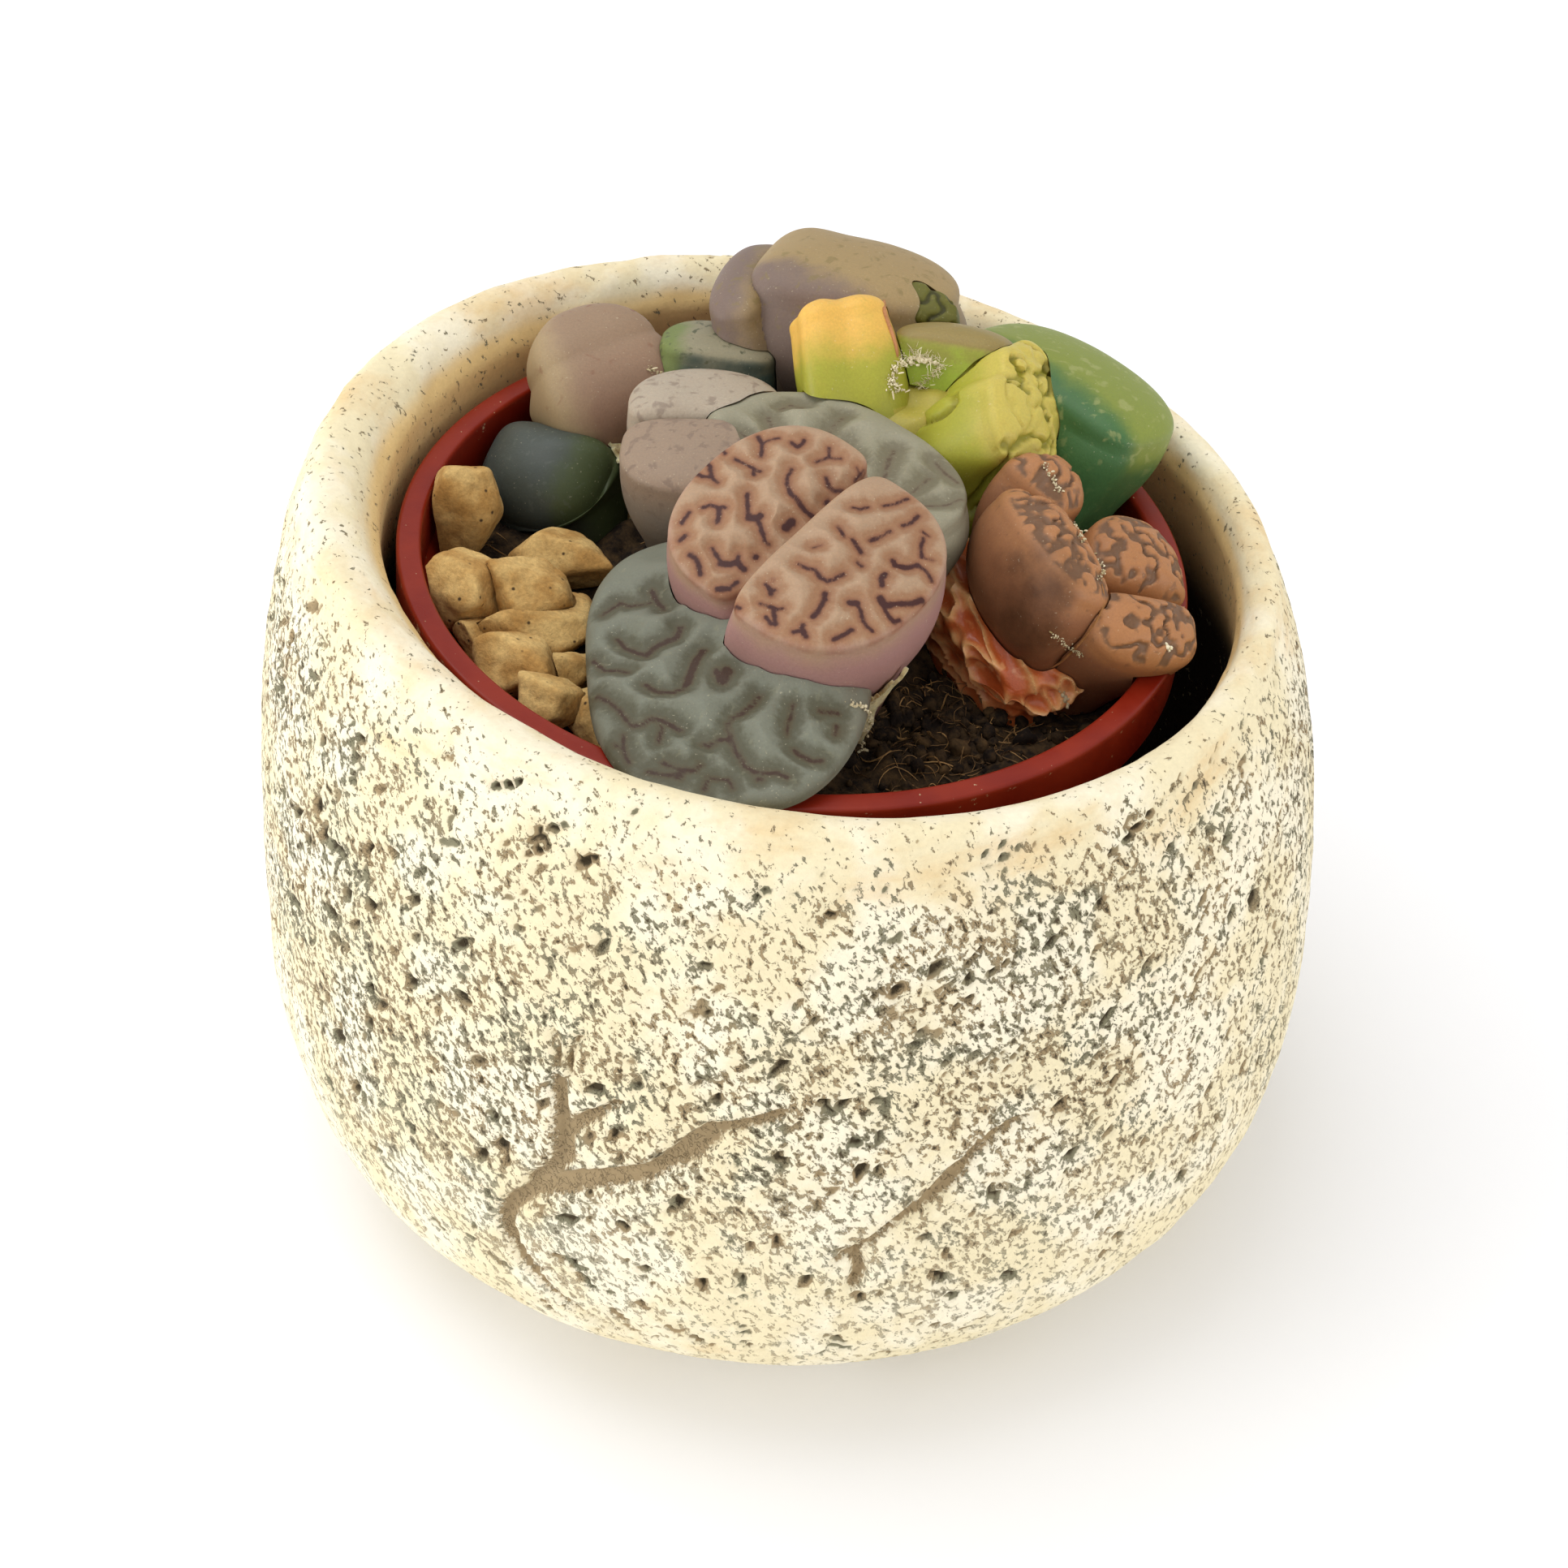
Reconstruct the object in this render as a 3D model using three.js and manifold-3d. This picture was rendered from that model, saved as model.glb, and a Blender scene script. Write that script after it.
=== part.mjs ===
// Potted lithops: living-stone plants, three dry sheaths and one shrivelled older leaf, rooted in
// peat with beige pebbles, in a red-brown plastic nursery pot that stands, slightly tipped, inside a
// pitted cream stoneware cachepot with a slanted mouth.
// Millimetres, +Z up, origin at the centre of the cachepot's flat base, -Y is the front.
import * as THREE from "three";
import { mergeVertices } from "three/addons/utils/BufferGeometryUtils.js";
import Module from "manifold-3d";

const wasm = await Module();
wasm.setup();

// ---------------------------------------------------------------- driving dimensions

const GAP = 0.3; // air left between neighbouring pieces
const CLEARANCE = 0.6; // a neighbour is swollen by this before it is cut out, so GAP is left at its corners
const SOIL_CLEARANCE = 0.8; // the same for the plain holes in the soil

// Cachepot: [radius, height] down the outside, over the lip and down the cavity.
const CACHEPOT = {
  height: 55.3,
  slant: 0.119, // fall of the mouth plane for each mm toward +X, fading to none at the base
  cavityShift: 1.2, // the cavity sits this far toward +X, so the wall is thicker on the left
  outside: [
    [23.6, 0], [29, 1.7], [32.4, 4.4], [37.5, 9], [39.25, 16.5], [39.2, 24], [38.6, 33], [37.4, 42],
    [35.6, 49.6], [34, 53.6],
  ],
  lip: [[34, 53.6], [33.3, 54.9], [32.1, 55.3], [30.7, 54.6], [29.6, 52.8]],
  cavity: [[29.6, 52.8], [29.9, 48], [30.9, 42], [31.4, 35], [31, 27], [28.6, 17.5], [24.6, 10.7]],
  steps: [10, 5, 7], // divisions down those three curves
  floorRadius: 62.9, // the cavity floor is a shallow spherical bowl
  floorCentreZ: 68.3,
  segments: 36,
};

// Nursery pot, in a frame of its own: z = 0 is the top of the rim.
const NURSERY = {
  rimZ: 51.9, // height of the rim's centre above the base of the cachepot
  tip: Math.atan(0.073), // the pot leans this far toward +X
  rimRadius: 27.5,
  rimWidth: 1.7,
  rimDepth: 4.6,
  neckRadius: 25.9, // outside, just under the rim band
  baseRadius: 19,
  depth: 43,
  wall: 0.9,
  corner: 0.6,
  drainRadius: 1.8,
  drainRing: 10.5,
  drains: 5,
  segments: 36,
};

const SOIL = {
  below: 5.5, // depth of the surface under the nursery rim
  lumps: 0.55,
  rings: 5,
  segments: 26,
};

// One leaf is a bent, tapering body with a D-shaped section. Its face is a low dome in a plane:
//   at       centre of the face [x, y, z]
//   lean     degrees between the face's normal and +Z, and toward, the compass angle it leans to
//   turn     compass angle of the leaf's width; its outer side lies to the left of that direction
//   wide     half width, out and inn the half depths on the outer side and on the fissure side
//   foot     centre of the foot, under the soil; footWide and footDeep its size as a share of the face
//   bulge    how far the side swells below the face, as a share of the face
//   crown    rise of the dome, edge the radius of the shoulder round it
//   round    power of the section's curve on the outer side, flat the same on the fissure side
//   meet     how far a pair's two fissure sides grow together half way down
//   island   spacing of the raised islands on the face, relief the depth of the channels between them
//   folds    number of lengthwise folds in the side, with their depth and twist
//   cells    divisions across the face, rings the divisions down the side
const LEAF = {
  lean: 0, toward: -90, turn: 0, wide: 6, out: 4, inn: 3, foot: [0, 0, 44], footWide: 0.5, footDeep: 0.5,
  bulge: 0.06, crown: 0.7, edge: 1.2, round: 2.3, flat: 4, meet: 0.8, cells: 6, rings: 3,
  island: 1, relief: 0, folds: 0, foldDepth: 0, foldTwist: 0, seed: 1,
};

const COLOURS = {
  stoneware: "#f2e6c2", terracottaPlastic: "#8c3020", peat: "#30241c", pebble: "#c2a26e",
  pink: "#c99a80", grey: "#7f8b82", lilac: "#978883", rose: "#a88476", slate: "#4d5757", teal: "#6d7263",
  olive: "#968a66", lime: "#b6b53c", husk: "#6c7326", green: "#76a04c", brown: "#9a7058",
  red: "#c8694b", papery: "#cdbd92",
};

// Every plant, by node: one leaf where it stands free, two where a pair is still joined at its base.
const PLANTS = {
  pink_pair: {
    colour: COLOURS.pink, roughness: 0.6,
    leaves: [
      {
        at: [-1.3, -7.8, 60.6], lean: 19, toward: -88, turn: 52, wide: 7.6, out: 6.1, inn: 2.7,
        foot: [-0.4, -9, 43.6], footWide: 0.55, footDeep: 0.55, bulge: 0.07, crown: 0.9, edge: 1.3,
        island: 3.1, relief: 0.6, seed: 3, cells: 12, rings: 4,
      },
      {
        at: [2.1, -12, 60.6], lean: 13, toward: -73, turn: 234, wide: 7.9, out: 7.2, inn: 2.6,
        foot: [0.8, -10.4, 43.6], footWide: 0.5, footDeep: 0.55, bulge: 0.08, crown: 0.9, edge: 1.3,
        island: 3.1, relief: 0.6, seed: 8, cells: 12, rings: 4,
      },
    ],
  },
  sheath_pink: {
    colour: COLOURS.papery, roughness: 0.85,
    sheath: { plant: "pink_pair", leaf: 1, from: 28, to: 84, top: [0.56, 0.28], ragged: 0.04 },
  },
  grey_leaf_front: {
    colour: COLOURS.grey, roughness: 0.65,
    leaves: [
      {
        at: [-2.3, -16.1, 54.9], lean: 1, toward: -95, turn: 112, wide: 12.4, out: 11, inn: 5.6,
        foot: [-1.6, -14.2, 43.6], footWide: 0.32, footDeep: 0.45, bulge: 0.02, crown: 1.1, edge: 1.8,
        flat: 2.3, island: 4.2, relief: 0.8, seed: 5, cells: 13,
      },
    ],
  },
  grey_leaf_back: {
    colour: COLOURS.grey, roughness: 0.65,
    leaves: [
      {
        at: [2.2, 0.6, 58.9], lean: 2, toward: 60, turn: -46, wide: 10.4, out: 7.4, inn: 3.6,
        foot: [1.8, -4.7, 43.6], bulge: 0.08, crown: 0.8, edge: 1.6, island: 4.4, relief: 0.8, seed: 9,
        cells: 12,
      },
    ],
  },
  lilac_pair: {
    colour: COLOURS.lilac, roughness: 0.6,
    leaves: [
      {
        at: [-6.4, 8.2, 58.4], lean: 4, toward: 60, turn: 2, wide: 5.5, out: 4.9, inn: 2.2,
        foot: [-5.6, 5.4, 43.8], seed: 2,
      },
      {
        at: [-6.5, 2.5, 58.4], lean: 9, toward: -112, turn: 176, wide: 5.8, out: 4.2, inn: 3.1,
        foot: [-5.9, 3.6, 43.8], seed: 4,
      },
    ],
  },
  rose_leaf: {
    colour: COLOURS.rose, roughness: 0.6,
    leaves: [
      {
        at: [-16.2, 18.6, 57.2], lean: 52, toward: 125, turn: 32, wide: 4.9, out: 4.4, inn: 3.4,
        foot: [-13.2, 16.4, 44.4], bulge: 0.22, seed: 6,
      },
    ],
  },
  slate_leaf: {
    colour: COLOURS.slate, roughness: 0.6,
    leaves: [
      {
        at: [-18.9, 9, 52.5], lean: 31, toward: 225, turn: 154, wide: 5, out: 4.3, inn: 3.6,
        foot: [-15.5, 8.9, 44], bulge: 0.1, seed: 7,
      },
    ],
  },
  sheath_slate: {
    colour: COLOURS.papery, roughness: 0.85,
    sheath: { plant: "slate_leaf", leaf: 0, from: -156, to: -80, top: [-0.02, -0.12], ragged: 0.03 },
  },
  teal_leaf: {
    colour: COLOURS.teal, roughness: 0.6,
    leaves: [
      {
        at: [-5.7, 17.4, 57.6], lean: 13, toward: 60, turn: -4, wide: 4.3, out: 3.6, inn: 3,
        foot: [-5.2, 14.6, 43.8], bulge: 0.1, seed: 10,
      },
    ],
  },
  lime_pair: {
    colour: COLOURS.lime, roughness: 0.5,
    leaves: [
      {
        at: [2.7, 14.7, 61.9], lean: 48, toward: 108, turn: 14, wide: 3.5, out: 2.6, inn: 2.3,
        foot: [5, 7, 43.8], footWide: 0.95, footDeep: 1, bulge: 0.12, folds: 5, foldDepth: 0.06,
        foldTwist: 3.6, seed: 13,
      },
      {
        at: [16.1, 8, 59.2], lean: 51, toward: -18, turn: -102, wide: 5.5, out: 4.4, inn: 3,
        foot: [9, 4.2, 43.8], footWide: 0.9, footDeep: 0.9, bulge: 0.1, folds: 6, foldDepth: 0.07,
        foldTwist: 4.8, seed: 14, cells: 7, rings: 4,
      },
      {
        at: [8, 9.2, 57.4], lean: 18, toward: -80, turn: 10, wide: 4.6, out: 2.6, inn: 3.6,
        foot: [7.2, 6.2, 43.8], footWide: 0.9, footDeep: 0.9,
      },
    ],
  },
  lime_inner_leaf: {
    colour: COLOURS.lime, roughness: 0.5,
    leaves: [
      {
        at: [11.3, 13.2, 60.9], lean: 20, toward: 70, turn: -10, wide: 4.4, out: 2.6, inn: 2,
        foot: [10.8, 12.8, 43.8], footWide: 0.6, footDeep: 0.8, bulge: 0.08, seed: 15,
      },
    ],
  },
  lime_husk: {
    colour: COLOURS.husk, roughness: 0.6,
    leaves: [
      {
        at: [7.6, 17.2, 61.3], lean: 35, toward: -110, turn: -16, wide: 3.8, out: 1.5, inn: 1.5,
        foot: [8, 16, 43.8], footWide: 0.7, footDeep: 1, crown: 0.3, edge: 0.8, folds: 4,
        foldDepth: 0.08, foldTwist: 3, seed: 22,
      },
    ],
  },
  olive_pair: {
    colour: COLOURS.olive, roughness: 0.55,
    leaves: [
      {
        at: [2.7, 22, 61.5], lean: 11, toward: 62, turn: -106, wide: 6, out: 9.3, inn: 5.6,
        foot: [3.4, 18.4, 43.6], bulge: 0.16, crown: 1.4, edge: 2, seed: 11,
      },
      {
        at: [-4, 21.4, 60.5], lean: 12, toward: 154, turn: 78, wide: 5.6, out: 2.4, inn: 2.2,
        foot: [1.2, 18.6, 43.6], bulge: 0.12, crown: 0.9, edge: 1.6, seed: 12,
      },
    ],
  },
  green_leaf: {
    colour: COLOURS.green, roughness: 0.5,
    leaves: [
      {
        at: [19.9, 13.1, 57.9], lean: 16, toward: 22, turn: -43, wide: 8.2, out: 6, inn: 4.2,
        foot: [16.4, 8.4, 43.6], footWide: 0.35, footDeep: 0.45, bulge: 0.04, crown: 1.1, edge: 1.8,
        seed: 16, cells: 7,
      },
    ],
  },
  brown_pair_left: {
    colour: COLOURS.brown, roughness: 0.55,
    leaves: [
      {
        at: [17.6, 1.3, 57.2], lean: 32, toward: 10, turn: -34, wide: 2.9, out: 3.1, inn: 2.6,
        foot: [17, -2.6, 43.6], footWide: 0.6, footDeep: 0.6, bulge: 0.1, seed: 17,
      },
      {
        at: [17.6, -6, 57.5], lean: 38, toward: 17, turn: 116, wide: 5.8, out: 3.1, inn: 3.1,
        foot: [17.3, -5.8, 43.6], footWide: 0.36, footDeep: 0.4, bulge: 0.1, island: 2.2, relief: 0.2,
        seed: 18, cells: 7,
      },
    ],
  },
  sheath_brown: {
    colour: COLOURS.papery, roughness: 0.85,
    sheath: { plant: "brown_pair_left", leaf: 1, from: -150, to: -40, top: [0.1, 0.02], ragged: 0.02 },
  },
  brown_pair_right: {
    colour: COLOURS.brown, roughness: 0.55,
    leaves: [
      {
        at: [23.7, -4.6, 53.8], lean: 32, toward: -31, turn: 5, wide: 3.9, out: 4.9, inn: 1.9,
        foot: [18.9, -6, 44.2], footWide: 0.6, footDeep: 0.6, island: 2.2, relief: 0.2, seed: 19,
      },
      {
        at: [23.7, -10.7, 53.5], lean: 40, toward: -44, turn: 183, wide: 4.3, out: 2.6, inn: 2.6,
        foot: [18.2, -7.6, 44.2], footWide: 0.6, footDeep: 0.7, island: 2.2, relief: 0.2, seed: 20,
      },
    ],
  },
  red_wrinkled_leaf: {
    colour: COLOURS.red, roughness: 0.5,
    leaves: [
      {
        at: [13.1, -5.6, 51.2], lean: 22, toward: -113, turn: 119, wide: 8, out: 3.3, inn: 3,
        foot: [13.2, -4.7, 44], footWide: 0.8, footDeep: 0.8, crown: 0.9, edge: 1.6, folds: 9,
        foldDepth: 0.1, foldTwist: 7.2, island: 2.6, relief: 0.6, seed: 21, cells: 8,
      },
    ],
  },
};

// How every leaf runs from its face to its foot.
const BODY = {
  straight: 0.38, // share of the length over which the body leaves the face squarely
  upright: 0.3, // share of the length over which it comes out of the foot vertically
  taper: 1.3, // power of the narrowing toward the foot
  belly: 0.45, // share of the length that swells under the face
  crowded: 1.25, // how much closer the upper rings of the side lie than the lower ones
  shoulder: 5, // power of the curve of the shoulder
};
// How closely the rings of a face crowd toward its shoulder, on a leaf and on the room cut for it.
const CROWDED = { leaf: 1.6, room: 3.6 };
const ROOM = { broad: 7, broadCells: 6, cells: 4, holeCells: 3 }; // broad: half width of a broad leaf

const SHEATH = { stand: 0.4, thick: 0.65, columns: 7, rows: 3, tears: 2.2 }; // stand: gap to its leaf

// Pebbles: centre [x, y, z], half sizes and compass angle of the long one.
const PEBBLES = [
  { at: [-23.4, 4.2, 51.9], size: [2.6, 2.2, 3.1], turn: 12 },
  { at: [-23, -4.8, 51.2], size: [2.6, 2.8, 2.4], turn: 8 },
  { at: [-18.2, -4.1, 50.7], size: [2.9, 2.4, 2.1], turn: -12 },
  { at: [-18.6, -11.4, 50], size: [2.9, 2.1, 2], turn: -20 },
  { at: [-16, -15.4, 50], size: [2.3, 1.9, 1.9], turn: -30 },
  { at: [-16.8, 1.1, 49.4], size: [3.7, 2, 1.9], turn: -8 },
  { at: [-16.6, -6.4, 49.2], size: [3.5, 2.5, 1.9], turn: 18 },
  { at: [-13, -15.8, 49.2], size: [1.7, 2.3, 1.9], turn: 20 },
  { at: [-21, -7.4, 48.8], size: [1.6, 1.7, 1.6], turn: 0 },
  { at: [-15.8, -10.8, 48.6], size: [2.4, 1.5, 1.6], turn: 14 },
];
const PEBBLE = { flats: 9, blunt: 12, nearest: 0.82, furthest: 1.04, detail: 1 };

// ---------------------------------------------------------------- helpers

const { degToRad: radians, radToDeg: degrees, lerp, clamp, smoothstep } = THREE.MathUtils;
const SAME = 1e-6;

// Repeatable number from 0 to 1 for a lattice cell.
function hash(i, j, seed) {
  const s = Math.sin(i * 127.1 + j * 311.7 + seed * 74.7) * 43758.5453;
  return s - Math.floor(s);
}

// The geometry with its shared vertices merged and its collapsed triangles left out.
function weld(geometry) {
  const plain = geometry.clone();
  plain.deleteAttribute("normal");
  plain.deleteAttribute("uv");
  const merged = mergeVertices(plain, 1e-4);
  const index = [...merged.index.array];
  const kept = [];
  for (let i = 0; i < index.length; i += 3) {
    const [a, b, c] = index.slice(i, i + 3);
    if (a !== b && b !== c && c !== a) kept.push(a, b, c);
  }
  merged.setIndex(kept);
  return merged;
}

function solidOf(geometry) {
  const closed = weld(geometry);
  const vertProperties = closed.attributes.position.array;
  return new wasm.Manifold(
    new wasm.Mesh({ numProp: 3, vertProperties, triVerts: new Uint32Array(closed.index.array) }),
  );
}

function geometryOf(solid) {
  const mesh = solid.getMesh();
  const geometry = new THREE.BufferGeometry();
  geometry.setAttribute("position", new THREE.BufferAttribute(mesh.vertProperties, 3));
  geometry.setIndex(new THREE.BufferAttribute(mesh.triVerts, 1));
  geometry.computeVertexNormals();
  return geometry;
}

function deform(geometry, move) {
  const { position } = geometry.attributes;
  const p = new THREE.Vector3();
  for (let i = 0; i < position.count; i++) {
    p.fromBufferAttribute(position, i);
    move(p, i);
    position.setXYZ(i, p.x, p.y, p.z);
  }
  return geometry;
}

// Moves each vertex along its normal, so that what is cut with the result keeps clear of the original.
function swell(geometry, by) {
  const closed = weld(geometry);
  closed.computeVertexNormals();
  const { normal } = closed.attributes;
  const along = new THREE.Vector3();
  return deform(closed, (p, i) => p.addScaledVector(along.fromBufferAttribute(normal, i), by));
}

const joined = (solids) => solids.reduce((a, b) => a.add(b));
const without = (solid, rooms) => rooms.reduce((rest, room) => rest.subtract(room), solid);
const largest = (solid) => solid.decompose().reduce((a, b) => (b.volume() > a.volume() ? b : a));

// A profile of [radius, z] points turned round +Z, closed on the axis or on itself.
function turned(profile, segments) {
  const points = profile.map(([r, z]) => new THREE.Vector2(r, z));
  return new THREE.LatheGeometry(points, segments).rotateX(Math.PI / 2);
}

function smooth(points, steps) {
  const curve = new THREE.SplineCurve(points.map(([r, z]) => new THREE.Vector2(r, z)));
  return curve.getPoints(steps).map((p) => [p.x, p.y]);
}

// ---------------------------------------------------------------- leaves

class Leaf {
  constructor(given) {
    Object.assign(this, LEAF, given);
    const [lean, toward, turn] = [this.lean, this.toward, this.turn].map(radians);
    const normal = new THREE.Vector3(0, 0, 1).applyAxisAngle(new THREE.Vector3(0, 1, 0), lean);
    normal.applyAxisAngle(new THREE.Vector3(0, 0, 1), toward);
    this.across = new THREE.Vector3(Math.cos(turn), Math.sin(turn), 0);
    const foot = new THREE.Vector3(...this.foot);
    const top = new THREE.Vector3(...this.at).addScaledVector(normal, -this.edge);
    this.length = top.distanceTo(foot);
    const below = top.clone().addScaledVector(normal, -BODY.straight * this.length);
    const above = foot.clone().add(new THREE.Vector3(0, 0, BODY.upright * this.length));
    this.spine = new THREE.CubicBezierCurve3(top, below, above, foot);
  }

  // Radius of the section at t (0 under the face, 1 at the foot) and at an angle from the width.
  radius(t, angle) {
    const taper = t ** BODY.taper;
    const swollen = this.bulge * Math.sin(Math.PI * Math.min(t / BODY.belly, 1));
    const wide = this.wide * (1 - taper + taper * this.footWide + swollen);
    const deep = 1 - taper + taper * this.footDeep + swollen;
    const outer = Math.sin(angle) >= 0;
    const half = outer ? this.out * deep : this.inn * deep + this.meet * Math.sin(Math.PI * t);
    const power = outer ? this.round : this.flat;
    const [x, y] = [Math.abs(Math.cos(angle)) / wide, Math.abs(Math.sin(angle)) / half];
    const fold = Math.sin(this.folds * angle + this.foldTwist * t + this.seed);
    return (x ** power + y ** power) ** (-1 / power) * (1 + this.foldDepth * (1 - t) * fold);
  }

  // The point x along the width, y along the depth and high above the section at t, which goes on
  // straight above the face where t is below 0.
  point(t, x, y, high) {
    const up = this.spine.getTangent(Math.max(t, 0)).negate();
    const w = this.across.clone().addScaledVector(up, -this.across.dot(up)).normalize();
    const v = up.clone().cross(w);
    const p = this.spine.getPoint(Math.max(t, 0)).addScaledVector(w, x).addScaledVector(v, y);
    return p.addScaledVector(up, high - this.length * Math.min(t, 0));
  }

  // Height of the raised islands on the face: the edges of a jittered lattice sink into channels.
  islands(x, y) {
    const [i0, j0] = [Math.floor(x / this.island), Math.floor(y / this.island)];
    let [nearest, second] = [Infinity, Infinity];
    for (let i = i0 - 2; i <= i0 + 2; i++)
      for (let j = j0 - 2; j <= j0 + 2; j++) {
        const cx = (i + 0.5 + 0.8 * (hash(i, j, this.seed) - 0.5)) * this.island;
        const cy = (j + 0.5 + 0.8 * (hash(j, i, this.seed + 9) - 0.5)) * this.island;
        const d = Math.hypot(x - cx, y - cy);
        if (d < nearest) [nearest, second] = [d, nearest];
        else if (d < second) second = d;
      }
    return this.relief * (smoothstep(second - nearest, 0, 0.45 * this.island) - 1);
  }

  // A box whose top becomes the face, whose sides run down to the foot and whose underside is the foot.
  geometry(cells = this.cells, rings = this.rings, plain = false) {
    return deform(new THREE.BoxGeometry(2, 2, 1, cells, cells, rings), (p) => {
      const down = 0.5 - p.z;
      const onFace = down < SAME;
      const inFoot = down > 1 - SAME && Math.max(Math.abs(p.x), Math.abs(p.y)) < 1 - SAME;
      // square to disc, then the rings crowd toward the rim of the face
      const dx = p.x * Math.sqrt(1 - (p.y * p.y) / 2);
      const dy = p.y * Math.sqrt(1 - (p.x * p.x) / 2);
      const angle = Math.atan2(dy, dx);
      const crowded = plain ? CROWDED.room : CROWDED.leaf;
      let share = inFoot ? 0 : 1;
      if (onFace) share = 1 - (1 - Math.min(Math.hypot(dx, dy), 1)) ** crowded;
      const t = down ** BODY.crowded;
      const reach = share * this.radius(t, angle);
      const [x, y] = [reach * Math.cos(angle), reach * Math.sin(angle)];
      let high = 0;
      if (onFace) {
        const shoulder = (1 - share ** BODY.shoulder) ** (1 / BODY.shoulder);
        high = this.crown * (1 - share ** 2) + this.edge * shoulder;
        if (this.relief && !plain) high += this.islands(x, y) * (1 - share ** 6);
      }
      p.copy(this.point(t, x, y, high));
    });
  }

  // A plainer, swollen copy, to cut room for the leaf out of its neighbours.
  room() {
    const cells = this.wide > ROOM.broad ? ROOM.broadCells : ROOM.cells;
    return solidOf(swell(this.geometry(cells, this.rings, true), CLEARANCE));
  }

  // The plain hole in the soil for the leaf's base.
  hole() {
    return solidOf(swell(this.geometry(ROOM.holeCells, ROOM.holeCells, true), SOIL_CLEARANCE));
  }
}

// A dry sheath: a torn ribbon that wraps one side of a leaf, from the soil to a ragged edge.
// from and to are angles round the leaf, top the height of the edge at each end as the leaf's t.
function sheathGeometry({ leaf, from, to, top, ragged }, grow = 0) {
  const spread = degrees(grow / leaf.wide);
  const ribbon = new THREE.BoxGeometry(1, 1, 1, SHEATH.columns, 1, SHEATH.rows);
  return deform(ribbon, (p) => {
    const s = 0.5 - p.x;
    const angle = radians(lerp(from - spread, to + spread, s));
    const torn = ragged * Math.sin(s * SHEATH.columns * SHEATH.tears) - grow / leaf.length;
    const t = lerp(lerp(top[0], top[1], s) + torn, 1, 0.5 - p.z);
    const off = p.y < 0 ? SHEATH.stand - grow : SHEATH.stand + SHEATH.thick + grow;
    const reach = leaf.radius(Math.max(t, 0), angle) + off;
    p.copy(leaf.point(t, reach * Math.cos(angle), reach * Math.sin(angle), 0));
  });
}

// ---------------------------------------------------------------- pebbles

// A ball pressed against a few random flats, with blunt corners between them.
function pebbleGeometry({ at, size, turn }, seed, grow = 0) {
  const flats = Array.from({ length: PEBBLE.flats }, (_, i) => {
    const z = lerp(-1, 1, (i + 0.5) / PEBBLE.flats);
    const angle = 2.4 * i + 1.2 * hash(i, 1, seed);
    const side = Math.sqrt(1 - z * z);
    const normal = new THREE.Vector3(side * Math.cos(angle), side * Math.sin(angle), z);
    return { normal, far: lerp(PEBBLE.nearest, PEBBLE.furthest, hash(i, 2, seed)) };
  });
  const stone = deform(new THREE.IcosahedronGeometry(1, PEBBLE.detail), (p) => {
    const reaches = flats.map(({ normal, far }) => Math.max(p.dot(normal) / far, 0) ** PEBBLE.blunt);
    p.multiplyScalar(reaches.reduce((a, b) => a + b) ** (-1 / PEBBLE.blunt));
    p.set(p.x * (size[0] + grow), p.y * (size[1] + grow), p.z * (size[2] + grow));
  });
  return stone.rotateZ(radians(turn)).translate(...at);
}

// ---------------------------------------------------------------- pots and soil

function cachepotSolid() {
  const { outside, lip, cavity, steps, floorRadius, floorCentreZ, height, slant, cavityShift } = CACHEPOT;
  const [floorEdge] = cavity.at(-1);
  const bowl = (r) => [r, floorCentreZ - Math.sqrt(floorRadius ** 2 - r * r)];
  const curves = [outside, lip, cavity].map((points, i) => smooth(points, steps[i]));
  const walls = curves.flatMap((points, i) => (i ? points.slice(1) : points));
  const profile = [[0, 0], ...walls, ...[0.7, 0.4, 0].map((share) => bowl(floorEdge * share))];
  const lipStart = curves[0].length;
  return solidOf(
    deform(turned(profile, CACHEPOT.segments), (p, i) => {
      const step = i % profile.length;
      p.z -= slant * p.x * (p.z / height) ** 2;
      p.x += cavityShift * clamp((step - lipStart) / steps[1], 0, 1);
    }),
  );
}

// Growth of the radius of the nursery pot's wall for each mm of height.
const NURSERY_SLOPE = (NURSERY.neckRadius - NURSERY.baseRadius) / (NURSERY.depth - NURSERY.rimDepth - 0.5);
const nurseryFrame = new THREE.Matrix4().makeRotationY(NURSERY.tip).setPosition(0, 0, NURSERY.rimZ);

function nurserySolid() {
  const { rimRadius, rimWidth, rimDepth, neckRadius, baseRadius, depth, wall, corner, segments } = NURSERY;
  const inside = rimRadius - rimWidth;
  const ease = 0.3;
  const profile = [
    [0, -depth], [baseRadius - corner, -depth], [baseRadius, corner - depth],
    [neckRadius, -rimDepth - 0.5], [rimRadius - ease, -rimDepth], [rimRadius, -ease],
    [rimRadius - ease, 0], [inside + ease, 0], [inside, -ease], [neckRadius - wall, -rimDepth - 1],
    [baseRadius - wall, wall + corner - depth], [baseRadius - wall - corner, wall - depth],
    [0, wall - depth],
  ];
  let pot = solidOf(turned(profile, segments));
  for (let i = 0; i < NURSERY.drains; i++) {
    const angle = (2 * Math.PI * i) / NURSERY.drains;
    const drain = new THREE.CylinderGeometry(NURSERY.drainRadius, NURSERY.drainRadius, 4 * wall, 10);
    drain.rotateX(Math.PI / 2);
    drain.translate(NURSERY.drainRing * Math.cos(angle), NURSERY.drainRing * Math.sin(angle), -depth);
    pot = pot.subtract(solidOf(drain));
  }
  return solidOf(geometryOf(pot).applyMatrix4(nurseryFrame));
}

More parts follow.
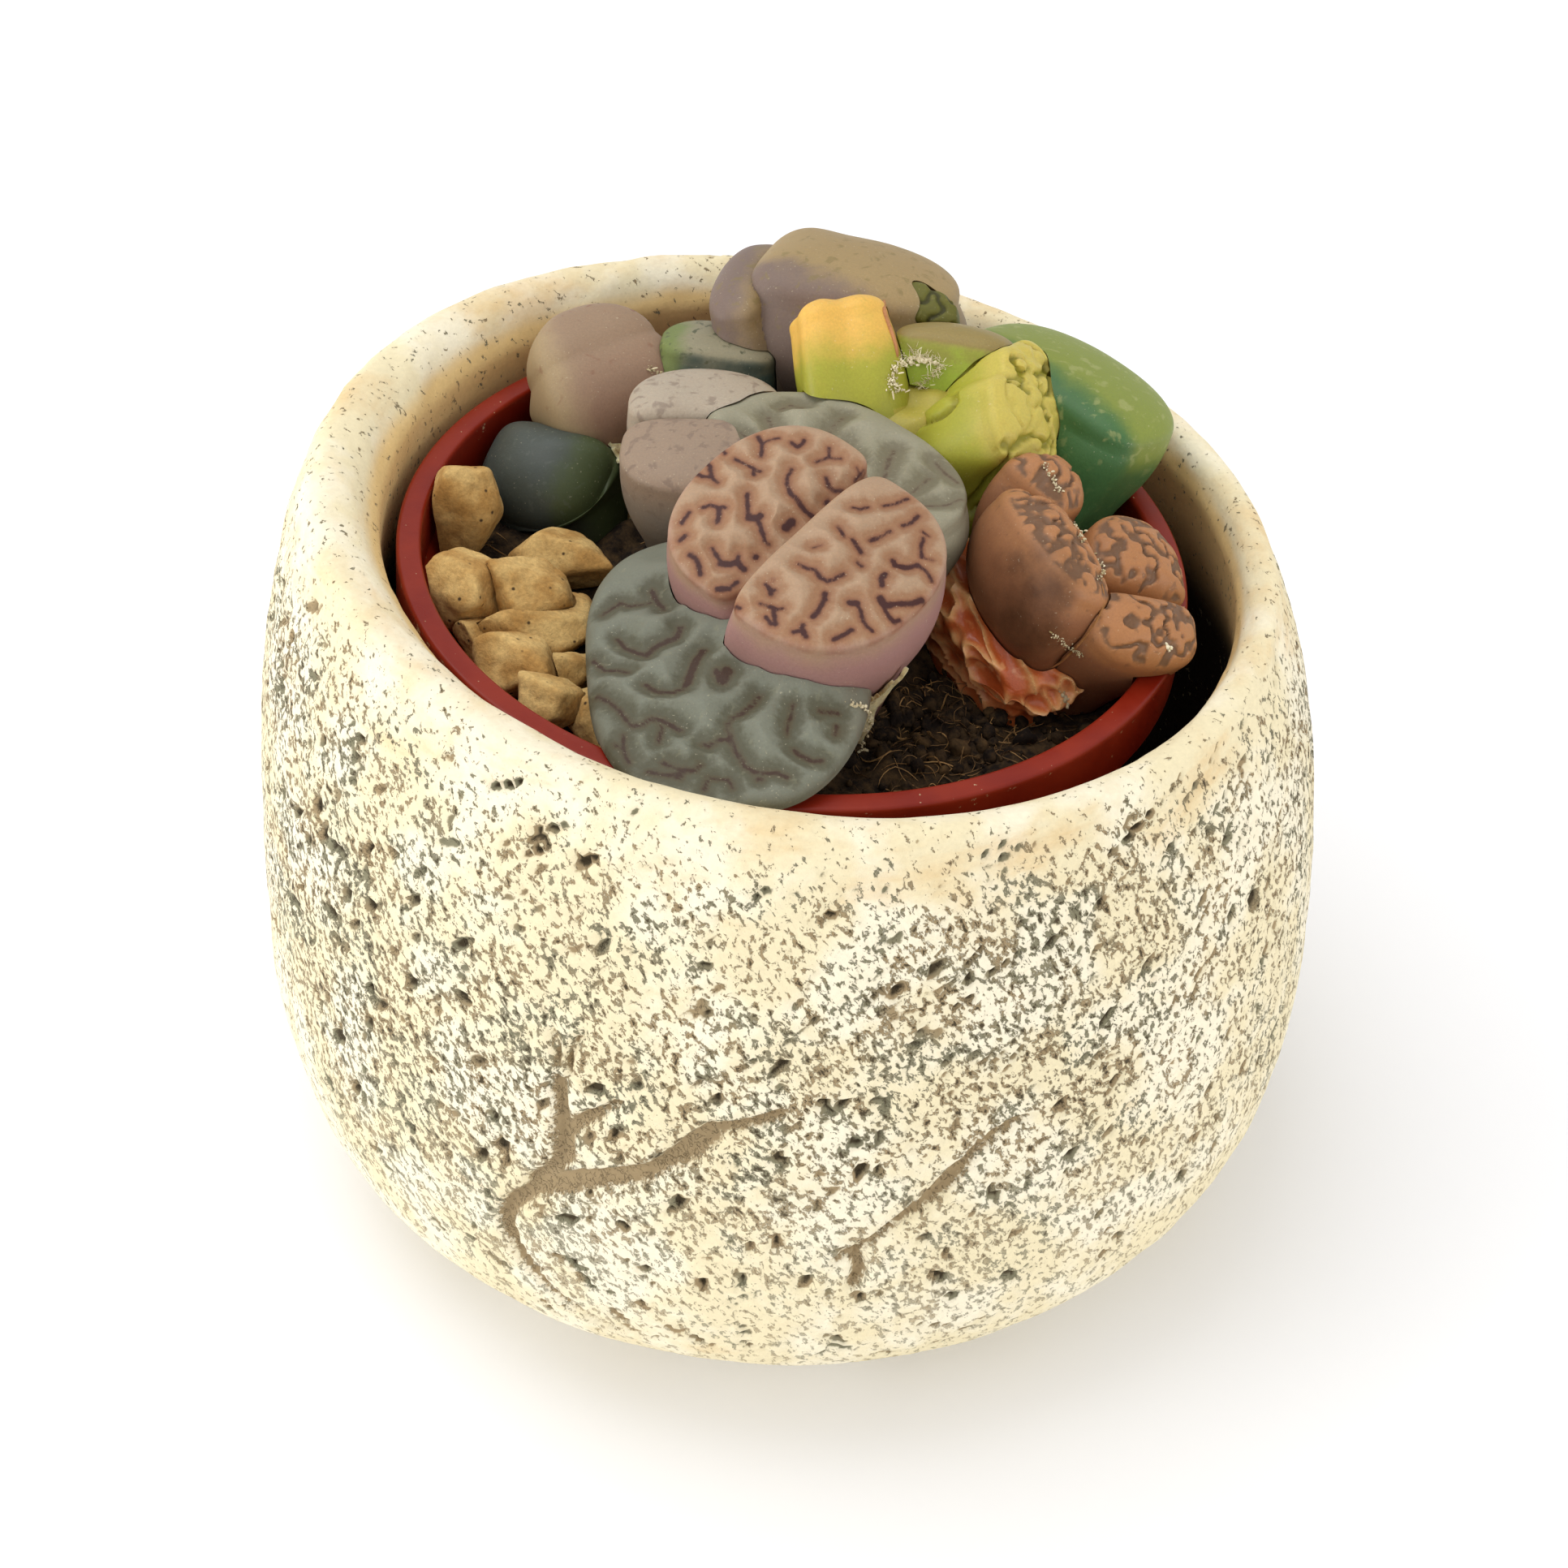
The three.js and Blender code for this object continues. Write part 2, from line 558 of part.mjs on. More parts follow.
// The space round the wall of the nursery pot, near its rim, which no leaf or pebble enters.
function rimRoom() {
  const { rimRadius, rimWidth, rimDepth, neckRadius, wall, segments } = NURSERY;
  const [inner, outer, low] = [rimRadius - rimWidth - CLEARANCE, rimRadius + CLEARANCE, -2 * rimDepth];
  const neck = neckRadius - wall - CLEARANCE;
  const lowest = neck - NURSERY_SLOPE * (rimDepth - 1);
  const profile = [
    [lowest, low], [outer, low], [outer, CLEARANCE], [inner, CLEARANCE], [neck, -rimDepth - 1],
  ];
  return solidOf(turned([...profile, profile[0]], segments).applyMatrix4(nurseryFrame));
}

function soilSolid(holes) {
  const { baseRadius, depth, wall, corner } = NURSERY;
  const top = -SOIL.below;
  const bottom = -depth + wall + GAP;
  const wallAt = (z) => baseRadius - wall - 1.5 * GAP + NURSERY_SLOPE * (z + depth - corner);
  const profile = [[0, bottom], [wallAt(bottom) - corner, bottom], [wallAt(bottom), bottom + corner]];
  for (let i = 0; i <= SOIL.rings; i++) profile.push([wallAt(top) * (1 - i / SOIL.rings), top]);
  const geometry = deform(turned(profile, SOIL.segments), (p) => {
    if (p.z < top - SAME) return;
    const r = Math.hypot(p.x, p.y) / wallAt(top);
    const broad = Math.sin(p.x * 0.83 + 1.1) * Math.sin(p.y * 0.71 + 0.4);
    const fine = 0.6 * Math.sin(p.x * 1.7 - p.y * 1.3);
    p.z += SOIL.lumps * (broad + fine) * (1 - r ** 4);
  });
  return without(solidOf(geometry.applyMatrix4(nurseryFrame)), holes);
}

// ---------------------------------------------------------------- assembly

const group = new THREE.Group();

function place(name, solid, colour, roughness) {
  const material = new THREE.MeshStandardMaterial({ color: colour, roughness, metalness: 0 });
  const mesh = new THREE.Mesh(geometryOf(solid), material);
  mesh.name = name;
  group.add(mesh);
}

place("cachepot", cachepotSolid(), COLOURS.stoneware, 0.8);
place("nursery_pot", nurserySolid(), COLOURS.terracottaPlastic, 0.4);

// Each piece gives way to those listed before it, as crowded leaves press round each other.
const rooms = [{ room: rimRoom() }];
const holes = [];
const leavesOf = {};
for (const [name, plant] of Object.entries(PLANTS)) {
  if (plant.sheath) {
    const leaf = leavesOf[plant.sheath.plant][plant.sheath.leaf];
    const others = rooms.filter((r) => r.leaf !== leaf).map((r) => r.room);
    const sheath = { ...plant.sheath, leaf };
    const body = without(solidOf(sheathGeometry(sheath)), others);
    rooms.push({ room: solidOf(sheathGeometry(sheath, CLEARANCE)) });
    holes.push(rooms.at(-1).room);
    place(name, largest(body), plant.colour, plant.roughness);
    continue;
  }
  const leaves = plant.leaves.map((given) => new Leaf(given));
  leavesOf[name] = leaves;
  const body = without(joined(leaves.map((leaf) => solidOf(leaf.geometry()))), rooms.map((r) => r.room));
  for (const leaf of leaves) {
    rooms.push({ leaf, room: leaf.room() });
    holes.push(leaf.hole());
  }
  place(name, largest(body), plant.colour, plant.roughness);
}
PEBBLES.forEach((pebble, i) => {
  const body = without(solidOf(pebbleGeometry(pebble, i)), rooms.map((r) => r.room));
  rooms.push({ room: solidOf(pebbleGeometry(pebble, i, CLEARANCE)) });
  holes.push(rooms.at(-1).room);
  place(`pebble_${String(i + 1).padStart(2, "0")}`, largest(body), COLOURS.pebble, 0.9);
});
place("soil", largest(soilSolid(holes)), COLOURS.peat, 1);

export default group;
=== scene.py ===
"""Looks of the potted lithops: plants, peat and pebbles in a nursery pot inside a stoneware cachepot.

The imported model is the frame. Each sub-assembly is a class that builds its finer pieces from the same
formulas and sizes as the solids, in millimetres, and dresses them.
"""

import itertools
import logging
import math
from dataclasses import dataclass, field, replace
from enum import Enum
from typing import Any, Sequence

import bmesh
import bpy
import numpy as np
from mathutils import Matrix, Vector
from mathutils.kdtree import KDTree


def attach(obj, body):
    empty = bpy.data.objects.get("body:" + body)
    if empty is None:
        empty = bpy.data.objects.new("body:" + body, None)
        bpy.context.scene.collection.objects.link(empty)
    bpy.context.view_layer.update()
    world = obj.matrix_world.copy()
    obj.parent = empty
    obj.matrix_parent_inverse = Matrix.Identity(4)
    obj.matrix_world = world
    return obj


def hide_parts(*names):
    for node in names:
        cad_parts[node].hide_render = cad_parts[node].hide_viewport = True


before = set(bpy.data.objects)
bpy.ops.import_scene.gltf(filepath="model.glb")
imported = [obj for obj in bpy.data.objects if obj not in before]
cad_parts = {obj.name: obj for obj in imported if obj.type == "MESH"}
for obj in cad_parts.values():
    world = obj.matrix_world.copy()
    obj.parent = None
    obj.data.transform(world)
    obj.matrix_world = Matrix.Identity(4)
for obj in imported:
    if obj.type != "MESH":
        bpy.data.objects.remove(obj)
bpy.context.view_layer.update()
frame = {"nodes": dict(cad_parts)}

LOG = logging.getLogger("potted_lithops")
Array = np.ndarray
Point = tuple[float, float, float]
MM = 0.001
UP = np.array([0.0, 0.0, 1.0])
FAR = 9.0  # distance to the nearest stroke, in mm, where a leaf has none
CONTACT = 0.12  # air left where one piece presses against another
SMOOTH = {"interpolation_type": "SMOOTHSTEP"}  # node settings that many materials share
RGBA = {"data_type": "RGBA"}
TIMES_PLUS = {"operation": "MULTIPLY_ADD"}
SCALE = {"operation": "SCALE"}

# ---- numbers


def linear(colour: str) -> tuple[float, float, float, float]:
    """Turns an sRGB hex colour into linear light.

    Args:
        colour: Six hex digits after a hash.

    Returns:
        Linear red, green and blue, and an alpha of 1.
    """
    parts = [int(colour[i : i + 2], 16) / 255 for i in (1, 3, 5)]
    light = [c / 12.92 if c <= 0.04045 else ((c + 0.055) / 1.055) ** 2.4 for c in parts]
    return (light[0], light[1], light[2], 1.0)


def pitch(size_mm: float) -> float:
    """Returns a texture's scale, in cells a metre, for a pattern whose cells have that size."""
    return 1 / (size_mm * MM)


def smoothstep(value: Array | float, low: float, high: float) -> Array:
    """Rises smoothly from 0 at low to 1 at high; low may be the larger one.

    Args:
        value: Numbers to map.
        low: Where the result is 0.
        high: Where the result is 1.

    Returns:
        Numbers from 0 to 1.
    """
    share = np.clip((np.asarray(value, float) - low) / (high - low), 0, 1)
    return share * share * (3 - 2 * share)


def unit(vectors: Array) -> Array:
    """Returns the vectors at length 1."""
    return vectors / np.maximum(np.linalg.norm(vectors, axis=-1, keepdims=True), 1e-12)


def draw(i: int, j: int, seed: float) -> float:
    """Returns a repeatable number from 0 to 1, the same one that the solids draw."""
    s = math.sin(i * 127.1 + j * 311.7 + seed * 74.7) * 43758.5453
    return s - math.floor(s)


def scatter(lattice: Array, seed: int) -> Array:
    """Draws a repeatable number for each lattice point.

    Args:
        lattice: Whole numbers, the last axis holding the coordinates.
        seed: Chooses the draw.

    Returns:
        Numbers from 0 to 1.
    """
    primes = np.array([374761393, 668265263, 1103515245])[: lattice.shape[-1]]
    mixed = (lattice.astype(np.int64) * primes).sum(-1) + seed * 1274126177
    mixed = (mixed ^ (mixed >> 13)) * 1274126177
    mixed = mixed ^ (mixed >> 16)
    return (mixed & 0xFFFFFF) / 0xFFFFFF


def noise(points: Array, size: float, seed: int, octaves: int = 1) -> Array:
    """Smooth noise, each octave half the size and half the strength of the last.

    Args:
        points: Places in mm, two or three coordinates each.
        size: Width of the largest lumps in mm.
        seed: Chooses the noise.
        octaves: How many sizes are added.

    Returns:
        Numbers from about -1 to 1.
    """
    total = np.zeros(len(points))
    for octave in range(octaves):
        place = points / (size / 2**octave)
        cell = np.floor(place).astype(np.int64)
        part = place - cell
        part = part * part * (3 - 2 * part)
        for corner in itertools.product((0, 1), repeat=points.shape[1]):
            weight = np.where(np.array(corner) == 1, part, 1 - part).prod(-1)
            total += weight * (scatter(cell + np.array(corner), seed + octave) * 2 - 1) / 2**octave
    return total


def from_lines(places: Array, lines: Sequence[tuple[Array, float]]) -> Array:
    """Distance from each place to the nearest of some drawn lines.

    Args:
        places: Plane coordinates in mm.
        lines: For each line its points in the same plane and half its width.

    Returns:
        Millimetres to the edge of the nearest line, below 0 inside it.
    """
    nearest = np.full(len(places), FAR)
    for points, half in lines:
        near = np.abs(places - points.mean(0)).max(-1) < np.ptp(points, axis=0).max() + 4
        seen = places[near]
        best = nearest[near]
        for a, b in zip(points[:-1], points[1:]):
            along = b - a
            share = np.clip((seen - a) @ along / max(along @ along, 1e-9), 0, 1)
            best = np.minimum(best, np.linalg.norm(seen - a - share[:, None] * along, axis=-1) - half)
        nearest[near] = best
    return nearest


def run_along(points: Array) -> Array:
    """Returns how far along the line each of its points is, from 0."""
    return np.append(0, np.cumsum(np.linalg.norm(np.diff(points, axis=0), axis=1)))


def spline(points: Sequence[tuple[float, float]], steps: int) -> Array:
    """The smooth curve that the solids turn, through every given point.

    Args:
        points: [radius, height] pairs.
        steps: Divisions of the whole curve.

    Returns:
        steps + 1 points on the curve.
    """
    given = np.array(points, float)
    last = len(given) - 1
    share = np.linspace(0, last, steps + 1)
    i = np.minimum(share.astype(int), last - 1)
    w = (share - i)[:, None]
    p0, p1, p2, p3 = (given[np.clip(i + k, 0, last)] for k in (-1, 0, 1, 2))
    v0, v1 = (p2 - p0) / 2, (p3 - p1) / 2
    return (2 * p1 - 2 * p2 + v0 + v1) * w**3 + (-3 * p1 + 3 * p2 - 2 * v0 - v1) * w**2 + v0 * w + p1


# ---- meshes


@dataclass
class Surface:
    """A closed skin in mm, with values that its material reads at each point."""

    points: Array
    faces: list[Sequence[int]]
    values: dict[str, Array] = field(default_factory=dict)

    def normals(self) -> Array:
        """Returns the direction that each point faces."""
        total = np.zeros_like(self.points)
        for size in (3, 4):
            chosen = np.array([f for f in self.faces if len(f) == size], int).reshape(-1, size)
            corner = self.points[chosen]
            across = np.cross(corner[:, 2] - corner[:, 0], corner[:, -1] - corner[:, 1])
            for k in range(size):
                np.add.at(total, chosen[:, k], across)
        return unit(total)

    def push(self, distance: Array) -> None:
        """Moves each point along its normal.

        Args:
            distance: Millimetres outward for each point.
        """
        self.points = self.points + self.normals() * distance[:, None]

    def joined(self, other: "Surface") -> "Surface":
        """Returns both skins as one list of points and faces.

        Args:
            other: The skin to add, with the same values.
        """
        shift = len(self.points)
        faces = self.faces + [[i + shift for i in f] for f in other.faces]
        values = {k: np.concatenate([v, other.values[k]]) for k, v in self.values.items()}
        return Surface(np.concatenate([self.points, other.points]), faces, values)

    def piece(self, name: str) -> bpy.types.Object:
        """Makes the Blender object, in metres.

        Args:
            name: The object's name.

        Returns:
            The object, linked to the scene.
        """
        mesh = bpy.data.meshes.new(name)
        mesh.from_pydata((self.points * MM).tolist(), [], self.faces)
        for key, value in self.values.items():
            mesh.attributes.new(key, "FLOAT", "POINT").data.foreach_set("value", value)
        mesh.shade_smooth()
        made = bpy.data.objects.new(name, mesh)
        bpy.context.scene.collection.objects.link(made)
        return made


class Join(Enum):
    """How two closed meshes become one."""

    UNION = "UNION"
    CUT = "DIFFERENCE"


def combine(piece: bpy.types.Object, others: Sequence[bpy.types.Object], how: Join) -> None:
    """Adds other closed meshes to a piece, or cuts them out of it.

    Args:
        piece: The object whose mesh changes.
        others: The objects that are added or cut out.
        how: Whether they are added or cut.
    """
    for other in others:
        modifier = piece.modifiers.new(how.name, "BOOLEAN")
        modifier.operation = how.value
        modifier.solver = "MANIFOLD"
        modifier.object = other
    graph = bpy.context.evaluated_depsgraph_get()
    made = bpy.data.meshes.new_from_object(piece.evaluated_get(graph))
    before = piece.data
    piece.modifiers.clear()
    piece.data = made
    bpy.data.meshes.remove(before)


def keep_largest(piece: bpy.types.Object) -> None:
    """Drops the scraps that a cut leaves and keeps the body with the most faces.

    Args:
        piece: The object whose mesh changes.
    """
    work = bmesh.new()
    work.from_mesh(piece.data)
    left = set(work.verts)
    bodies: list[set[bmesh.types.BMVert]] = []
    while left:
        body: set[bmesh.types.BMVert] = set()
        edge = [left.pop()]
        while edge:
            vertex = edge.pop()
            body.add(vertex)
            near = {e.other_vert(vertex) for e in vertex.link_edges} & left
            left -= near
            edge.extend(near)
        bodies.append(body)
    largest = max(bodies, key=len)
    scraps = [v for body in bodies if body is not largest for v in body]
    bmesh.ops.delete(work, geom=scraps, context="VERTS")
    work.to_mesh(piece.data)
    work.free()


def carry_values(piece: bpy.types.Object, source: Surface) -> None:
    """Gives a cut mesh the values of the nearest points of the skins that it was made from.

    Args:
        piece: The object that takes the values.
        source: The skins before they were joined and cut.
    """
    tree = KDTree(len(source.points))
    for i, point in enumerate(source.points * MM):
        tree.insert(point, i)
    tree.balance()
    index = np.array([tree.find(v.co)[1] for v in piece.data.vertices])
    for key, value in source.values.items():
        old = piece.data.attributes.get(key)
        if old is not None:
            piece.data.attributes.remove(old)
        piece.data.attributes.new(key, "FLOAT", "POINT").data.foreach_set("value", value[index])


def ball(detail: int) -> tuple[Array, list[Sequence[int]]]:
    """Returns the points and triangles of a ball of radius 1, subdivided detail times."""
    work = bmesh.new()
    bmesh.ops.create_icosphere(work, subdivisions=detail, radius=1)
    points = np.array([v.co for v in work.verts])
    faces: list[Sequence[int]] = [[v.index for v in f.verts] for f in work.faces]
    work.free()
    return points, faces


def finish_piece(
    piece: bpy.types.Object,
    material: bpy.types.Material,
    nodes: Sequence[str] = (),
    crease: float = 40,
) -> None:
    """Dresses a piece and tells the frame what it stands for.

    Args:
        piece: The finished object.
        material: Its material.
        nodes: The solids that it stands for.
        crease: Edges sharper than this many degrees are shaded as edges.
    """
    piece.data.materials.clear()
    piece.data.materials.append(material)
    piece.data.shade_smooth()
    piece.data.set_sharp_from_angle(angle=math.radians(crease))
    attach(piece, "root")
    if nodes:
        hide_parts(*nodes)
    LOG.info("%s: %d faces, for %s", piece.name, len(piece.data.polygons), list(nodes) or "detail")


def turned(profile: Array, segments: int) -> tuple[Array, list[Sequence[int]], Array]:
    """Turns a profile round +Z, closed on the axis at both ends.

    Args:
        profile: [radius, height] from the axis at the bottom, up the outside and back to the axis.
        segments: Divisions round the axis.

    Returns:
        Points, faces, and for each point its row in the profile.
    """
    body = profile[1:-1]
    angle = np.arange(segments) * 2 * math.pi / segments
    rows = len(body)
    radius, height = np.repeat(body[:, 0], segments), np.repeat(body[:, 1], segments)
    round_ = np.tile(angle, rows)
    ends = np.array([[0, 0, profile[0, 1]], [0, 0, profile[-1, 1]]])
    points = np.stack([radius * np.cos(round_), radius * np.sin(round_), height], -1)
    grid = np.arange(rows * segments).reshape(rows, segments)
    beside = np.roll(grid, -1, axis=1)
    faces: list[Sequence[int]] = (
        np.stack([grid[:-1], beside[:-1], beside[1:], grid[1:]], -1).reshape(-1, 4).tolist()
    )
    low, high = rows * segments, rows * segments + 1
    faces += [[low, b, a] for a, b in zip(grid[0].tolist(), beside[0].tolist())]
    faces += [[high, a, b] for a, b in zip(grid[-1].tolist(), beside[-1].tolist())]
    row = np.concatenate([np.repeat(np.arange(1, rows + 1), segments), [0, rows + 1]])
    return np.concatenate([points, ends]), faces, row


# ---- camera


@dataclass(frozen=True)
class Sight:
    """The camera: where it stands, and what a place in its frame looks at."""

    eye: Point = (-0.472, -159.502, 169.465)
    elevation: float = 41.1908
    roll: float = 1.0329
    focal: float = 3500.0  # in pixels of the frame
    frame: float = 1932.0
    sensor: float = 36.0

    def axes(self) -> Array:
        """Returns the rows right, up and back of the camera."""
        e, r = math.radians(self.elevation), math.radians(self.roll)
        back = np.array([0, -math.cos(e), math.sin(e)])
        up = np.array([0, math.sin(e), math.cos(e)])
        right = np.array([1.0, 0, 0])
        return np.array(
            [math.cos(r) * right + math.sin(r) * up, -math.sin(r) * right + math.cos(r) * up, back]
        )

    def rays(self, places: Array) -> Array:
        """Directions from the eye through places in the frame.

        Args:
            places: Columns and rows in pixels of the frame.

        Returns:
            One direction of length 1 for each place.
        """
        right, up, back = self.axes()
        across = (places[:, :1] - self.frame / 2) / self.focal
        above = (self.frame / 2 - places[:, 1:]) / self.focal
        return unit(across * right + above * up - back)

    def seen(self, places: Array) -> Array:
        """Finds what the camera sees at places in its frame.

        Args:
            places: Columns and rows in pixels of the frame.

        Returns:
            The places that are seen, in mm.
        """
        graph = bpy.context.evaluated_depsgraph_get()
        eye = Vector(self.eye) * MM
        casts = (bpy.context.scene.ray_cast(graph, eye, Vector(ray)) for ray in self.rays(places))
        return np.array([cast[1] for cast in casts]) / MM

    def make(self) -> None:
        """Makes the camera and gives it to the scene."""
        data = bpy.data.cameras.new("camera")
        data.sensor_width = self.sensor
        data.lens = self.sensor * self.focal / self.frame
        data.clip_start, data.clip_end = 0.01, 20
        camera = bpy.data.objects.new("camera", data)
        bpy.context.scene.collection.objects.link(camera)
        placed = np.eye(4)
        placed[:3, :3] = self.axes().T
        placed[:3, 3] = np.array(self.eye) * MM
        camera.matrix_world = Matrix(placed.tolist())
        bpy.context.scene.camera = camera


SIGHT = Sight()


def sketch(text: str) -> list[tuple[Array, float]]:
    """Reads strokes drawn in the camera's frame.

    Args:
        text: One stroke a line: half its width in mm, a colon, and its points as column,row.

    Returns:
        For each stroke its points and half width.
    """
    strokes = []
    for line in text.strip().splitlines():
        half, points = line.split(":")
        pairs = [[float(c) for c in pair.split(",")] for pair in points.split()]
        strokes.append((np.array(pairs if len(pairs) > 1 else pairs * 2), float(half)))
    return strokes


# ---- materials


class Shader:
    """The node tree of a material or a world while it is built."""

    def __init__(self, name: str, owners: Any = bpy.data.materials) -> None:
        """Starts an empty tree.

        Args:
            name: The name of the material or world.
            owners: The collection that it is made in.
        """
        self.owner = owners.new(name)
        self.owner.use_nodes = True
        self.tree = self.owner.node_tree
        self.tree.nodes.clear()

    def add(self, kind: str, inputs: dict[str | int, Any] | None = None, **settings: Any) -> bpy.types.Node:
        """Adds a node with its settings and links.

        Args:
            kind: The node's type after ShaderNode.
            inputs: For each input a constant, the output socket that feeds it, or a node that feeds it
                from the first output it has in use.
            settings: Properties of the node.

        Returns:
            The node.
        """
        node = self.tree.nodes.new("ShaderNode" + kind)
        for key, value in settings.items():
            setattr(node, key, value)
        for key, value in (inputs or {}).items():
            if isinstance(value, bpy.types.Node):
                value = next(output for output in value.outputs if output.enabled)
            if isinstance(value, bpy.types.NodeSocket):
                self.tree.links.new(value, node.inputs[key])
            else:
                node.inputs[key].default_value = value
        return node

    def finish(self, **inputs: Any) -> bpy.types.Material:
        """Ends the tree in a Principled shader.

        Args:
            inputs: Its inputs, with underscores for the spaces of their names.

        Returns:
            The material.
        """
        named = {key.replace("_", " "): value for key, value in inputs.items()}
        surface = self.add("BsdfPrincipled", named)
        self.add("OutputMaterial", {"Surface": surface})
        return self.owner


@dataclass(frozen=True)
class LeafSkin:
    """Lithops leaf skin: a waxy, matt epidermis over water-filled tissue that light enters a little.

    The face has translucent windows between raised, opaque islands; along the strokes the windows'
    colour is partly painted shade in the channels. The side is plain but for painted shade toward its
    foot, and wrinkled skin has painted shade in its creases. The skin's cells are under 0.05 mm wide,
    too fine to show, so its grain is drawn at grain_mm.
    """

    name: str
    face: str
    island: str
    side: str
    # the side's colour at its foot: painted shade on most skins, a lighter, greener tone on the slate leaf
    deep: str
    mark: str = "#4b2a2d"
    halo: str = "#a86a50"
    # a tint toward one side of the face; on the brown leaves it is painted shade
    tint_and_shade: str = "#a08070"
    freckle: str = "#8a8070"
    freckle_mm: float = 0.5
    freckle_share: float = 0.42  # level of the noise above which freckles show
    freckled: float = 0.0
    # painted shade in the creases of wrinkled skin
    fold: str = "#3a3020"  # colour of the creases in wrinkled skin
    dust: str = "#d6ccae"
    dusty: float = 0.25
    halo_mm: float = 0.55
    frayed: float = 1.0  # how ragged the strokes are
    edge: float = 1.12  # how far down the side the face's colour reaches
    foot_shade_at: float = 1.9  # where the side has its darkest colour
    grain_mm: float = 0.16
    grain: float = 0.25
    mottle_mm: float = 2.381
    fray_mm: float = 0.3846
    flake_mm: float = 0.1923  # flakes of wax and dust, about twice their real width so that they show
    roughness: float = 0.58
    gloss: float = 0.35
    glow: float = 0.12
    glow_mm: float = 1.4

    def build(self) -> bpy.types.Material:
        """Returns the material."""
        s = Shader(self.name)
        place = s.add("TexCoord").outputs["Object"]
        way, off, raised, tint_and_shade, sunk = (
            s.add("Attribute", attribute_name=key).outputs["Fac"]
            for key in ("way", "off", "raised", "tint_and_shade", "sunk")
        )
        mottle = s.add(
            "TexNoise", {"Vector": place, "Scale": pitch(self.mottle_mm), "Detail": 3.0, "Roughness": 0.6}
        )
        fine = s.add(
            "TexNoise",
            {"Vector": place, "Scale": pitch(self.grain_mm), "Detail": 2.0, "Roughness": 0.6},
        )
        waver = s.add("Math", {0: mottle, 1: -0.5}, operation="ADD")
        fray = s.add(
            "TexNoise", {"Vector": place, "Scale": pitch(self.fray_mm), "Detail": 3.0, "Roughness": 0.6}
        )
        fray = s.add("Math", {0: fray, 1: -0.5}, operation="ADD")
        # islands and windows, their border broken up by the mottle; along the strokes the windows' darker
        # colour is also painted shade in the channels
        height = s.add("Math", {0: waver, 1: 0.9, 2: raised}, **TIMES_PLUS)
        height = s.add("Math", {0: fray, 1: 0.7, 2: height}, **TIMES_PLUS)
        lift = s.add("MapRange", {0: height, 1: 0.1, 2: 0.9}, **SMOOTH)
        face = s.add("Mix", {0: lift, 6: linear(self.face), 7: linear(self.island)}, **RGBA)
        # painted shade: down the side the colour turns to the deep one toward the foot
        down = s.add("MapRange", {0: way, 1: self.edge, 2: self.foot_shade_at}, **SMOOTH)
        side = s.add("Mix", {0: down, 6: linear(self.side), 7: linear(self.deep)}, **RGBA)
        bent = s.add("Math", {0: waver, 1: 0.12, 2: way}, **TIMES_PLUS)
        over = s.add("MapRange", {0: bent, 1: 0.93, 2: self.edge}, **SMOOTH)
        colour = s.add("Mix", {0: over, 6: face, 7: side}, **RGBA)
        # a tint toward one side of the face; on the brown leaves it is painted shade
        tint_and_shade_share = s.add("Math", {0: waver, 1: 0.8, 2: tint_and_shade}, **TIMES_PLUS)
        tint_and_shade_share = s.add("MapRange", {0: tint_and_shade_share, 1: 0.1, 2: 0.9}, **SMOOTH)
        colour = s.add("Mix", {0: tint_and_shade_share, 6: colour, 7: linear(self.tint_and_shade)}, **RGBA)
        # painted shade in the creases, where the skin is sunk
        crease_shade = s.add("Math", {0: waver, 1: 0.7, 2: sunk}, **TIMES_PLUS)
        crease_shade = s.add("MapRange", {0: crease_shade, 1: 0.3, 2: 1.0, 4: 0.85}, **SMOOTH)
        colour = s.add("Mix", {0: crease_shade, 6: colour, 7: linear(self.fold)}, **RGBA)
        # freckles: pigment cells, or dust and wax crystals, by their colour
        spots = s.add(
            "TexNoise",
            {"Vector": place, "Scale": pitch(self.freckle_mm), "Detail": 3.0, "Distortion": 0.4},
        )
        spots = s.add(
            "MapRange",
            {0: spots, 1: 1 - self.freckle_share, 2: 1.13 - self.freckle_share, 4: self.freckled},
            **SMOOTH,
        )
        there = s.add("MapRange", {0: way, 1: 0.95, 2: 1.25, 3: 1.0, 4: 0.15})
        spots = s.add("Math", {0: spots, 1: there}, operation="MULTIPLY")
        colour = s.add("Mix", {0: spots, 6: colour, 7: linear(self.freckle)}, **RGBA)
        # strokes where the dark tissue shows through, with a softer halo
        edge = s.add("Math", {0: waver, 1: 0.35 * self.frayed, 2: off}, **TIMES_PLUS)
        edge = s.add("Math", {0: fray, 1: 0.75 * self.frayed, 2: edge}, **TIMES_PLUS)
        near = s.add("MapRange", {0: edge, 1: self.halo_mm, 2: 0.0, 4: 0.6}, **SMOOTH)
        colour = s.add("Mix", {0: near, 6: colour, 7: linear(self.halo)}, **RGBA)
        ink = s.add("MapRange", {0: edge, 1: 0.05, 2: -0.14}, **SMOOTH)
        colour = s.add("Mix", {0: ink, 6: colour, 7: linear(self.mark)}, **RGBA)
        # flakes of wax and dust, each about a tenth of a millimetre
        flakes = s.add("TexNoise", {"Vector": place, "Scale": pitch(self.flake_mm), "Detail": 1.0})
        flakes = s.add("Math", {0: waver, 1: 0.25, 2: flakes}, **TIMES_PLUS)
        flakes = s.add("MapRange", {0: flakes, 1: 0.72, 2: 0.78, 4: self.dusty}, **SMOOTH)
        colour = s.add("Mix", {0: flakes, 6: colour, 7: linear(self.dust)}, **RGBA)
